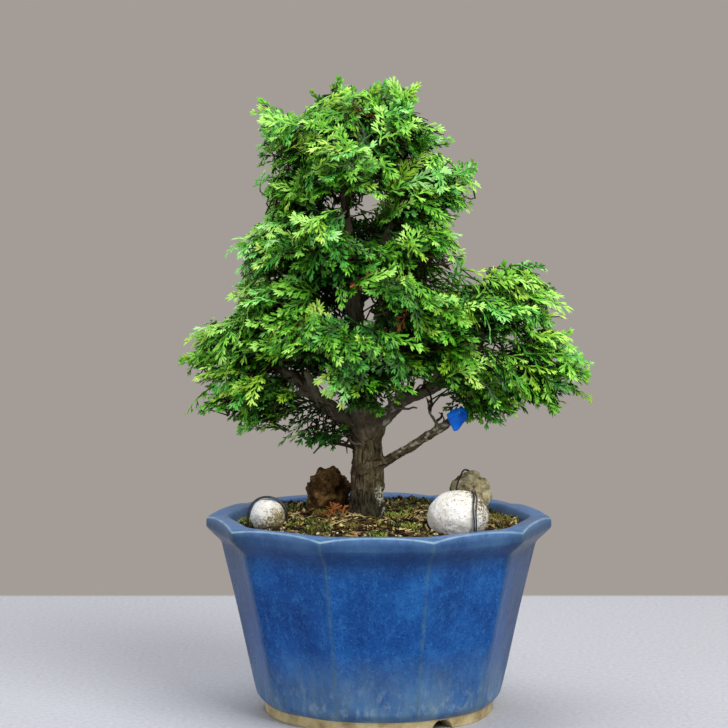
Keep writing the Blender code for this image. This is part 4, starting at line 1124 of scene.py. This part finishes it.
SMOOTHED_AWAY = 0.14      # thickness that smoothing takes off a bough's skin
SKIN_VOXEL = 0.42
SHARED_SAMPLES = 200      # the trunk and the first boughs share one pattern of furrows
LICHEN_AT = Vector((1.0, 1.6, 93.4))


class Limb:
    """A tapering limb: its smooth centreline and its radius along it."""

    def __init__(self, path, radii):
        self.path, self.radii = path, radii

    def at_height(self, z):
        """Centre, radius and direction where the limb passes a height."""
        for a, b, ra, rb in zip(self.path, self.path[1:], self.radii, self.radii[1:]):
            if a.z <= z <= b.z:
                t = (z - a.z) / (b.z - a.z)
                return a.lerp(b, t), ra + (rb - ra) * t, (b - a).normalized()
        raise ValueError(f"the limb does not pass {z}")

    def tip(self):
        """Tip, radius and direction at the limb's end."""
        return self.path[-1], self.radii[-1], (self.path[-1] - self.path[-2]).normalized()


def make_limbs():
    """Centrelines of the trunk and boughs, smoothed, with knuckles and collars."""
    sizes = spline_through([(r, 0, 0) for _, r in TRUNK], 8)
    limbs = {"trunk": Limb(spline_through([p for p, _ in TRUNK], 8), [s.x for s in sizes])}
    for name, _, points, r0, r1 in BOUGHS:
        line = spline_through(points, 8)
        radii = []
        for i, place in enumerate(line):
            t = i / (len(line) - 1)
            knuckle = 1 + 0.13 * noise.noise(place * 0.35)
            collar = 1 + 0.45 * math.exp(-(t / 0.13) ** 2)
            radii.append((r0 + (r1 - r0) * t ** 0.8) * knuckle * collar + SMOOTHED_AWAY)
            fade = math.sin(math.pi * min(1.0, t * 1.1)) if t < 0.9 else 0.0
            sway = Vector([noise.noise(place * 0.22 + Vector((9.0 * k, 3.0, 1.0)))
                           for k in range(3)])
            line[i] = place + sway * 0.9 * fade
        limbs[name] = Limb(line, radii)
    return limbs


def limb_samples(limbs):
    """Centreline points, each with length so far, radius and a frame, and a tree of them."""
    samples = []
    for limb in limbs.values():
        done = 0.0
        for i, place in enumerate(limb.path):
            before, after = limb.path[max(i - 1, 0)], limb.path[min(i + 1, len(limb.path) - 1)]
            done += (place - before).length
            along = (after - before).normalized()
            ref = Vector((1, 0, 0)) if abs(along.x) < 0.8 else Vector((0, 1, 0))
            ref = (ref - along * ref.dot(along)).normalized()
            samples.append((place, done, limb.radii[i], along, ref, along.cross(ref)))
    tree = kdtree.KDTree(len(samples))
    for i, sample in enumerate(samples):
        tree.insert(sample[0], i)
    tree.balance()
    return samples, tree


def bark_depth(around, along, radius, seed):
    """How deep a furrow is, from 0 to 1: narrow cracks that run up the limb and wander."""
    pitch = 2.3 if radius > 4 else 1.5
    ring = Vector((*polar(1.0, around), 0)) * radius / pitch
    spot = ring + Vector((0, 0, along / 12.0)) + seed
    wander = noise.noise(spot * 0.8 + seed) * 0.8
    crack = abs(noise.noise(spot + Vector((wander, wander, 0))))
    finer = abs(noise.noise(spot * 1.8 + Vector((5, 2, 1))))
    furrow = max(0.0, 1 - crack / 0.2) ** 1.2
    return min(1.0, furrow + 0.5 * max(0.0, 1 - finer / 0.18))


def skin_over(limbs):
    """One closed, smoothed skin over every limb."""
    batch = Batch()
    for name, limb in limbs.items():
        batch.add(*tube(limb.path, limb.radii, 24 if name == "trunk" else 14), 0)
    wood = batch.build("trunk_and_boughs", [bark_look()])
    remesh = wood.modifiers.new("skin", "REMESH")
    remesh.mode = "VOXEL"
    remesh.voxel_size = SKIN_VOXEL * MM
    remesh.use_smooth_shade = True
    depsgraph = bpy.context.evaluated_depsgraph_get()
    mesh = bpy.data.meshes.new_from_object(wood.evaluated_get(depsgraph))
    wood.modifiers.clear()
    wood.data = mesh
    return wood


def make_bark(limbs):
    """The trunk's and boughs' bark, with furrows, flakes, lichen and root flare."""
    wood = skin_over(limbs)
    bm = bmesh.new()
    bm.from_mesh(wood.data)
    for _ in range(3):
        bmesh.ops.smooth_vert(bm, verts=bm.verts, factor=0.5, use_axis_x=True, use_axis_y=True,
                              use_axis_z=True)
    bm.normal_update()
    samples, tree = limb_samples(limbs)
    relief, lichen = [], []
    for vert in bm.verts:
        here = (vert.co - Vector(AXIS)) / MM
        _, index, _ = tree.find(here)
        place, done, radius, along, ref, other = samples[index]
        out = here - place
        around = math.atan2(out.dot(other), out.dot(ref))
        seed = Vector((0, 0, 0)) if index < SHARED_SAMPLES else Vector((4.0, 2.0, 9.0))
        depth = bark_depth(around, done + out.dot(along), radius, seed)
        fine = noise.noise(here * 1.1) * 0.5 + noise.noise(here * 2.3) * 0.25
        swell = noise.noise(here * 0.28)
        scale = min(1.0, radius / 7.0)
        flare = 0.0
        if here.z < 94 and radius > 5:
            low = (94 - here.z) / 10
            flare = 1.2 * low * low * max(0.0, math.sin(around * 3 + 0.8) * 0.7
                                          + noise.noise(Vector((around, 2, 0))) * 0.8)
        push = (0.25 + 0.55 * scale) * swell + 0.30 * fine - (0.25 + 0.75 * scale) * depth + flare
        away = here - LICHEN_AT
        spot = math.hypot(away.x, away.y, 0.7 * away.z) + 1.6 * noise.noise(here * 0.9)
        crust = clamp((3.2 - spot) / 1.2) * clamp(0.45 + 2.0 * noise.noise(here * 1.9))
        if here.x > 2 and here.z < 133:
            crust = max(crust, min(0.6, 2.4 * noise.noise(here * 0.55) - 0.3))
        relief.append(depth)
        lichen.append(crust)
        vert.co += vert.normal * push * MM
    bm.to_mesh(wood.data)
    bm.free()
    wood.data.shade_smooth()
    set_attribute(wood.data, "relief", relief)
    set_attribute(wood.data, "lichen", lichen)
    dress(wood, "bark", "trunk", *("bough_" + row[0] for row in BOUGHS))


# ------------------------------------------------------------------ foliage

class Space:
    """The convex room of one mass: its ellipsoid, cut by a plane against each other mass."""

    def __init__(self, index):
        self.centre = Vector(MASSES[index][3])
        self.radii = Vector(MASSES[index][4]) * SPACE_GROWTH
        self.planes = []
        for j, other in enumerate(MASSES):
            if j != index:
                away = Vector(other[3]) - self.centre
                gap, away = away.length, away.normalized()
                mine = reach_of(self.radii, away)
                theirs = reach_of(Vector(other[4]) * SPACE_GROWTH, away)
                self.planes.append((away, gap * mine / (mine + theirs) - CELL_GAP))

    def reach(self, direction):
        """Distance from the centre to the edge of the space along a direction."""
        leans = ((direction.dot(away), at) for away, at in self.planes)
        return min([reach_of(self.radii, direction)]
                   + [at / lean for lean, at in leans if lean > 1e-6])


def reach_of(radii, direction):
    """Radius of an ellipsoid along a unit direction."""
    return 1.0 / math.sqrt(sum((direction[k] / radii[k]) ** 2 for k in range(3)))


def inside_crown(point, edge, skip=None):
    """True where a point lies in the ellipsoid of a mass other than one to skip."""
    return any(j != skip and sum(((point[k] - mass[3][k]) / mass[4][k]) ** 2
                                 for k in range(3)) < edge
               for j, mass in enumerate(MASSES))


def even_directions(count, spin):
    """Directions spread evenly over a sphere along a golden spiral."""
    out = []
    for k in range(count):
        z = 1 - 2 * (k + 0.5) / count
        turn = k * math.pi * (3 - math.sqrt(5)) + spin
        out.append(Vector((*polar(math.sqrt(1 - z * z), turn), z)))
    return out


def in_opening(point):
    """True where a point, as the front eye sees it, would close a gap in the crown."""
    scale = -EYE.y / (point.y - EYE.y)
    x, z = EYE.x + (point.x - EYE.x) * scale, EYE.z + (point.z - EYE.z) * scale
    return any(point.y < back and ((x - gx) / rx) ** 2 + ((z - gz) / rz) ** 2 < 1
               for gx, gz, rx, rz, back in OPENINGS)


# A lobe's blunt outline about a raised middle, and a slimmer spine's: along, across, up.
LOBE = np.array(((0, 0, 0), (0.34, 0.95, 0), (0.8, 0.72, 0), (1, 0, 0), (0.8, -0.72, 0),
                 (0.34, -0.95, 0), (0.55, 0, 1)), float)
SPINE = np.array(((0, 0, 0), (0.4, 1, 0), (1, 0, 0), (0.4, -1, 0), (0.4, 0, 1)), float)


def spray_rows(rng, length, fan):
    """Lobes and spines of one flat spray, each as u, v, heading, length, half width, pitch,
    how far out it is, and the rise and slope of its branchlet."""
    lobes, spines = [], []
    side = rng.choice((-1, 1))
    for k in range(5):
        spines.append((length * k / 5, 0, 0, length * 0.27, SPINE_HALF * 1.2, 0, 0.1 * k, 0, 0))
    u = 0.14 * length
    while u < 0.9 * length:
        t = u / length
        reach = length * fan * min(1.0, 0.55 + 1.8 * t) * (1 - t) ** 0.6 * rng.uniform(0.78, 1.1)
        heading = side * math.radians(rng.uniform(27, 42) - 10 * t)
        slope = rng.gauss(0, 0.2)
        far = t + 0.3 * reach / length
        spines.append((u, 0, heading, reach * 0.9, SPINE_HALF, 0, far, 0, slope))
        s, turn = max(1.6, 0.24 * reach), side
        while s < 0.84 * reach:
            size = min(LOBE_MAX, 0.5 * (reach - s) + 1.9) * rng.uniform(0.8, 1.2)
            lean = turn * math.radians(rng.uniform(18, 32))
            lobes.append((u + math.cos(heading) * s, math.sin(heading) * s, heading + lean, size,
                          LOBE_HALF * rng.uniform(0.85, 1.1), rng.gauss(0, 0.12),
                          far + 0.35 * s / reach, s * slope, slope * math.cos(lean)))
            s += LOBE_STEP
            turn = -turn
        start = 0.6 * reach
        lobes.append((u + math.cos(heading) * start, math.sin(heading) * start, heading,
                      0.4 * reach + 1.2, LOBE_HALF, 0, far + 0.5, start * slope, slope))
        u += BRANCH_STEP
        side = -side
    for heading in (-0.55, 0.0, 0.55):
        lobes.append((0.86 * length, 0, heading, 0.12 * length + 1.4 - abs(heading),
                      LOBE_HALF, 0, 1.3, 0, 0))
    return np.array(lobes), np.array(spines)


def bent(u, v, up, length, bend, curl, twist, frame_of):
    """Points of a flat spray, drooped along its length and placed by its frame."""
    turn = bend * u / length
    flat = length / bend * np.sin(turn) + up * np.sin(turn)
    rise = -length / bend * (1 - np.cos(turn)) + up * np.cos(turn) - curl * v * v / length
    roll = twist * u / length
    v, rise = v * np.cos(roll) - rise * np.sin(roll), v * np.sin(roll) + rise * np.cos(roll)
    root, ahead, aside, over = (np.array(p) for p in frame_of)
    return root + flat[..., None] * ahead + v[..., None] * aside + rise[..., None] * over


def placed(rows, template, *shape):
    """Points of every lobe in a table of rows."""
    u0, v0, heading, size, half, pitch, _, rise, slope = (rows[:, k:k + 1] for k in range(9))
    along = template[None, :, 0] * size
    across = template[None, :, 1] * half
    up = template[None, :, 2] * LOBE_RIDGE + along * (np.tan(pitch) + slope) + rise
    u = u0 + np.cos(heading) * along - np.sin(heading) * across
    v = v0 + np.sin(heading) * along + np.cos(heading) * across
    return bent(u, v, up, *shape)


def shades(rows, level, kind, rng):
    """Colour of each lobe: one colour for a dead spray, else brighter toward the tips."""
    if kind >= DEAD:
        return np.full(len(rows), kind)
    jitter = np.array([rng.uniform(-0.45, 0.45) for _ in rows])
    steps = np.round(level + 1.9 * (rows[:, 6] - 0.5) + jitter)
    return kind * (BRIGHTEST + 1) + np.clip(steps, 0, BRIGHTEST).astype(int)


class Crown:
    """Grows the masses of one crown piece into a batch of leaves and one of twigs."""

    def __init__(self, limbs, samples, twigs):
        self.limbs, self.twigs, self.leaves = limbs, twigs, Batch()
        self.samples, self.tree = samples

    def strikes_limb(self, point, clear=0.8):
        """True where a point is in or against a limb."""
        _, index, away = self.tree.find(point)
        return away < self.samples[index][2] + clear

    def twig(self, path, r0, r1, sides, green=False):
        """A tapering twig, unless it would cross an opening."""
        if not in_opening(path[len(path) // 2]):
            steps = len(path) - 1
            radii = [r0 + (r1 - r0) * k / steps for k in range(steps + 1)]
            self.twigs.add(*tube(path, radii, sides), int(green))

    def skeleton(self, index, rng):
        """Stem and two orders of fork; returns the nodes that sprays hang from."""
        name, limb_name, height, _, _, tips = MASSES[index]
        space = Space(index)
        centre = space.centre
        if height is None:
            foot, stem_r, along = self.limbs[limb_name].tip()
            foot = foot - along * 1.0
        else:
            axis, limb_r, along = self.limbs[limb_name].at_height(height)
            out = centre - axis
            out = (out - along * out.dot(along)).normalized()
            stem_r = STEM_R
            foot = axis + out * (limb_r - 0.4)
            along = (out + along * 0.5).normalized()
        path = spline_through((foot, foot + along * 2.5, foot.lerp(centre, 0.6) - UP, centre), 4)
        self.twig(path, stem_r, TWIG_R, 6)
        nodes = path[4:]
        trunk_nodes = len(path)
        first = [(Vector(t) - centre).normalized() for t in tips]
        first += even_directions(FORKS, rng.uniform(0, TURN))
        for direction in first[:1 if name in SPARSE else max(FORKS, len(tips))]:
            far = space.reach(direction) * rng.uniform(0.42, 0.55)
            end = centre + direction * far
            if in_opening(end):
                continue
            start = nearest(nodes[:trunk_nodes], end)
            wander = jolt(rng, 0.05) * far
            line = spline_through((start, start.lerp(end, 0.5) + wander - UP * (0.05 * far), end))
            self.twig(line, TWIG_R, FORK_R, 5)
            nodes += line[2:]
            for _ in range(2):
                lean = (direction + jolt(rng, 0.42)).normalized()
                tip = centre + lean * space.reach(lean) * rng.uniform(0.58, 0.7)
                start = line[rng.choice((3, 4, 5))]
                if (tip - start).length < 3 or in_opening(tip):
                    continue
                fork = spline_through((start, start.lerp(tip, 0.5) + jolt(rng, 0.6), tip))
                self.twig(fork, FORK_R, 0.3, 4)
                nodes += fork[2:]
        return space, nodes

    def spray(self, target, outward, level, nodes, rng, longest, edge=CROWN_EDGE):
        """One spray whose tip reaches a target, standing out or hanging."""
        length = longest * rng.uniform(0.75, 1.15)
        flat_out = Vector((outward.x, outward.y, 0.0))
        if flat_out.length < 0.2:
            flat_out = Vector((rng.gauss(0, 1), rng.gauss(0, 1), 0.0))
        flat_out.normalize()
        aside = Vector((-flat_out.y, flat_out.x, 0.0))
        steep = max(0.0, outward.z)
        if rng.random() < HANGING - 0.3 * outward.z:
            over = UP * rng.uniform(0.3, 0.9) + flat_out * rng.uniform(0.5, 1.1)
            chord = outward * rng.uniform(0.2, 0.7) - UP * rng.uniform(0.2, 0.9)
        else:
            over = UP * (1.1 - 0.9 * steep) + flat_out * (rng.uniform(-0.1, 0.6) + 0.4 * steep)
            chord = outward * 1.2 + UP * rng.uniform(-0.15, 0.35)
        over = (over + aside * rng.gauss(0, 0.45)).normalized()
        chord += aside * rng.gauss(0, 0.38)
        chord = (chord - over * chord.dot(over)).normalized()
        bend = math.radians(rng.uniform(18, 60)) * (1 - 0.6 * max(0.0, chord.z))
        root = target - chord * (length * math.sin(bend / 2) / (bend / 2))
        node = nearest(nodes, root)
        if (node - root).length > TWIG_REACH:
            nearer = root.lerp(node, 0.35)
            target = target + (nearer - root) * 0.6
            root = nearer
        self.lay(root, target, over, bend, level, node, rng, rng.uniform(0.27, 0.46), edge)

    def lay(self, root, target, over, bend, level, node, rng, fan, edge=None):
        """Set a spray from its root to its tip, if it has room, and twig it to a node."""
        chord = (target - root).normalized()
        length = max(9.0, (target - root).length * (bend / 2) / math.sin(bend / 2))
        over = (over - chord * over.dot(chord)).normalized()
        ahead = chord * math.cos(bend / 2) + over * math.sin(bend / 2)
        above = over * math.cos(bend / 2) - chord * math.sin(bend / 2)
        across = above.cross(ahead)
        middle = [root.lerp(target, t) + above * length * 0.12 * t * (1 - t) * 4
                  for t in (0.3, 0.6, 1.0)]
        sides = [root.lerp(target, 0.6) + across * length * 0.36 * side for side in (-1, 1)]
        if any(self.strikes_limb(p) for p in middle):
            return
        if edge and (in_opening(root) or any(in_opening(p) or not inside_crown(p, edge)
                                             for p in middle + sides)):
            return
        shape = (length, bend, rng.uniform(0.2, 0.9), rng.gauss(0, 0.35),
                 (root, ahead, across, above))
        kind, roll = rng.choices(range(3), KIND_CHANCES)[0], rng.random()
        if level < 1.0 and roll < 0.05:
            kind = DEAD + (roll < 0.03)
        for rows, template in zip(spray_rows(rng, length, fan), (LOBE, SPINE)):
            hub = len(template) - 1
            fan_of = np.array([((k + 1) % hub, k, hub) for k in range(hub)])
            points = placed(rows, template, *shape)
            many = fan_of[None] + np.arange(len(rows))[:, None, None] * len(template)
            self.leaves.add(points.reshape(-1, 3), many.reshape(-1, 3),
                            np.repeat(shades(rows, level, kind, rng), hub))
        along = np.linspace(0.0, 0.5 * length, 4)
        axis = [Vector(p) for p in bent(along, along * 0, along * 0 - 0.2, *shape)]
        if (root - node).length > 1.0:
            middle = root.lerp(node, 0.5) - ahead * 0.07 * (root - node).length
            self.twig((node, middle, root), 0.4, 0.35, 3, not inside_crown(middle, 0.6))
        self.twig(axis, 0.38, 0.2, 3, level > 1.4)

    def tangle(self, name, stretch, lean, count, rng):
        """Short crooked twigs, bare and grey, that hug one side of a bough."""
        limb = self.limbs[name]
        last = len(limb.path) - 2
        for _ in range(count):
            k = int(last * rng.uniform(*stretch))
            along = (limb.path[k + 1] - limb.path[k]).normalized()
            aside = Vector(lean) + jolt(rng, 0.45)
            aside = (aside - along * aside.dot(along)).normalized()
            heading = (aside * rng.uniform(0.5, 1.2) + along * rng.uniform(0.2, 1.2)).normalized()
            step = rng.uniform(1.1, 2.4)
            path = [limb.path[k] + aside * limb.radii[k] * 0.7]
            for _ in range(5):
                heading += jolt(rng, 0.32) - aside * 0.16
                heading.normalize()
                path.append(path[-1] + heading * step)
            thick = rng.uniform(0.4, 0.85)
            radii = [thick * (1 - 0.11 * i) for i in range(len(path))]
            self.twigs.add(*tube(path, radii, 5), 2 if rng.random() < 0.6 else 0)

    def shoot(self, rng):
        """A shaded shoot from the trunk or an inner bough, among the masses."""
        names = [name for name, limb in self.limbs.items() if limb.path[0].z > 110.0]
        name = rng.choice(["trunk"] * len(names) + names)
        limb = self.limbs[name]
        if name == "trunk":
            height = rng.triangular(SHOOT_LOW, SHOOT_HIGH, SHOOT_MOST)
            axis, radius, _ = limb.at_height(height)
        else:
            place = rng.randrange(len(limb.path) // 3, len(limb.path) - 1)
            axis, radius = limb.path[place], limb.radii[place]
        turn = rng.uniform(0, math.tau)
        outward = Vector((*polar(1.0, turn), rng.uniform(-0.3, 0.5))).normalized()
        target = axis + outward * rng.uniform(16.0, 32.0)
        if inside_crown(target, INNER_EDGE):
            self.spray(target, outward, rng.uniform(-0.8, 1.2), [axis + outward * radius], rng,
                       19.0, INNER_EDGE)

    def grow(self, index):
        """One mass: its skeleton, the sprays that the photo shows, and its shells."""
        rng = random.Random(SEED + 7 * index)
        space, nodes = self.skeleton(index, rng)
        centre, name = space.centre, MASSES[index][0]
        drop = 6.0 + 20.0 * clamp((centre.z - 150.0) / 90.0)
        axis, _, _ = self.limbs["trunk"].at_height(min(245.0, max(90.0, centre.z - drop)))
        hub = centre.lerp(axis, HUB_SHARE)
        for *ends, level, count in SHOWN.get(name, ()):
            root, tip = Vector(ends[:3]), Vector(ends[3:])
            node = nearest(nodes, root)
            for k in range(count):
                spread = jolt(rng, 1) * 1.6 * min(1, k)
                face = SHOWN_FACE + Vector((rng.gauss(0, 0.3), 0, rng.gauss(0, 0.25)))
                bend = math.radians(rng.uniform(12, 34))
                self.lay(root + spread * 1.5, tip + spread, face, bend, level - 0.4 * k, node,
                         rng, rng.uniform(0.2, 0.34))
        for part, count, mean in SHELLS:
            for direction in even_directions(count, rng.uniform(0, TURN)):
                direction = (direction + jolt(rng, 0.12)).normalized()
                far = space.reach(direction)
                hidden = inside_crown(centre + direction * (far + 6.0), HIDDEN_EDGE, index)
                if rng.random() > SPARSE.get(name, 1.0):
                    continue
                if hidden:
                    if rng.random() > INNER_KEEP:
                        continue
                    far += OVERLAP
                target = centre + direction * far * part * rng.uniform(0.84, 1.0)
                edge = CROWN_EDGE
                if part == 1.0 and not hidden and rng.random() < LEADERS:
                    target += direction * rng.uniform(2.0, 5.0)
                    edge = LEADER_EDGE
                level = (light_at(target) + 1.9 * (part - 0.6) / 0.4 + 1.4 * direction.z
                         + rng.uniform(-1.3, 1.3) - 1.1 * hidden)
                self.spray(target, (target - hub).normalized(), level, nodes, rng, mean, edge)


def light_at(spot):
    """How bright the sprays about a place are, as in the photo: more so at either side and
    at the top right, less so low in front."""
    level = 0.6 + 0.9 * clamp((spot.x - 20.0) / 30.0) + clamp((-spot.x - 20.0) / 25.0)
    level += 0.6 * clamp((spot.z - 195.0) / 15.0) * (spot.x > 0)
    return level - 0.8 * clamp((-spot.y - 12.0) / 20.0) * (spot.z < 188)


def make_crown(limbs):
    """Every crown piece: sprays of leaves and the twigs that carry them."""
    samples = limb_samples(limbs)
    leaf_mats = plain_looks([(f"{name}_{k}", colour) for name, colours in LEAVES
                             for k, colour in enumerate(colours)], 0.45, 0.28)
    index_of = {mass[0]: i for i, mass in enumerate(MASSES)}
    twigs, inner = Batch(), random.Random(SEED + 5)
    for name, masses in CROWN:
        crown = Crown(limbs, samples, twigs)
        for mass in masses:
            crown.grow(index_of[mass])
        for _ in range(SHOOTS // len(CROWN)):
            crown.shoot(inner)
        if name == "crown_top":
            for row in TANGLES:
                crown.tangle(*row, random.Random(SEED + 9))
        dress(crown.leaves.build(name + "_sprays", leaf_mats), "foliage",
              *("foliage_" + mass for mass in masses))
    dress(twigs.build("crown_twigs", plain_looks(TWIG_LOOKS, 0.85, 0.3)), "bark")


# ------------------------------------------------------------------ stage, light and camera

WALL = (164, 157, 151)
TABLE = (182, 186, 196)
TABLE_GRAIN = (162, 166, 176)
FLOOR_HALF = 30000.0
TABLE_END, WALL_FROM, GLOW_FROM = 0.275, 0.279, 0.282      # metres from the pot's axis


def make_floor():
    """A large pale floor: bench tone by the pot, fading into the backdrop's tone far off."""
    corners = [(x * FLOOR_HALF, y * FLOOR_HALF, 0) for x, y in
               ((-1, -1), (1, -1), (1, 1), (-1, 1))]
    look = Look("pale_floor", 0.55, 0.3)
    look.base = linear(TABLE)
    across = look.maths("ABSOLUTE", look.axis("X"))
    along = look.maths("ABSOLUTE", look.axis("Y"))
    away = look.maths("MAXIMUM", look.times(across, 0.5), along)
    look.layer(TABLE_GRAIN, look.noise(2.2, 3.0, 0.7), 0.35, 0.7, 1.0)
    look.layer(WALL, away, TABLE_END, WALL_FROM, 1.0)
    glow = look.node("Emission", "Emission", {"Color": linear(WALL)})
    fade = look.node("MixShader", "Shader", {
        "Fac": look.span(away, TABLE_END, GLOW_FROM),
        1: look.tree.nodes["Principled BSDF"].outputs["BSDF"], 2: glow})
    look.feed(look.tree.nodes["Material Output"].inputs["Surface"], fade)
    mesh_object("floor", corners, [(0, 1, 2, 3)], [look.finished()], smooth=False)


def area_light(name, place, aim, size, energy, colour=(255, 255, 255)):
    """A soft square light aimed at a point; places in millimetres."""
    light = bpy.data.lights.new(name, "AREA")
    light.shape = "SQUARE"
    light.size = size
    light.energy = energy
    light.color = linear(colour)[:3]
    obj = link_object(name, light)
    obj.location = Vector(place) * MM + Vector(AXIS)
    obj.rotation_euler = (Vector(aim) - Vector(place)).to_track_quat("-Z", "Y").to_euler()


def make_lights():
    """Plain soft studio light: a broad key from above and to the front right, and a fill."""
    area_light("key", (520, -700, 980), (0, 0, 130), 0.7, 16.0, (255, 252, 246))
    area_light("top", (-150, 250, 1150), (0, 0, 130), 0.8, 9.0)
    area_light("fill", (-900, -700, 500), (0, 0, 120), 0.9, 4.0, (238, 244, 255))
    world = bpy.data.worlds.new("studio")
    bpy.context.scene.world = world
    world.use_nodes = True
    backdrop = world.node_tree.nodes["Background"]
    backdrop.inputs["Color"].default_value = linear(WALL)
    backdrop.inputs["Strength"].default_value = 1.0
    bpy.context.scene.view_settings.view_transform = "Standard"


def make_camera():
    """The photograph's viewpoint: low in front, tipped down a little, on a long lens."""
    camera = bpy.data.cameras.new("camera")
    camera.sensor_width = 36.0
    camera.sensor_fit = "HORIZONTAL"
    camera.lens = camera.sensor_width * EYE_PIXELS / PHOTO_WIDTH
    camera.clip_start, camera.clip_end = 0.05, 100.0
    obj = link_object("camera", camera)
    obj.location = EYE * MM + Vector(AXIS)
    obj.rotation_euler = (math.radians(90 - EYE_PITCH), 0, 0)
    bpy.context.scene.camera = obj


def main():
    make_camera()
    make_lights()
    make_floor()
    make_pot()
    make_soil()
    make_mulch()
    make_gravel()
    make_moss()
    make_dead_twigs()
    make_lumps()
    make_wires()
    make_tag()
    limbs = make_limbs()
    make_bark(limbs)
    make_crown(limbs)


main()
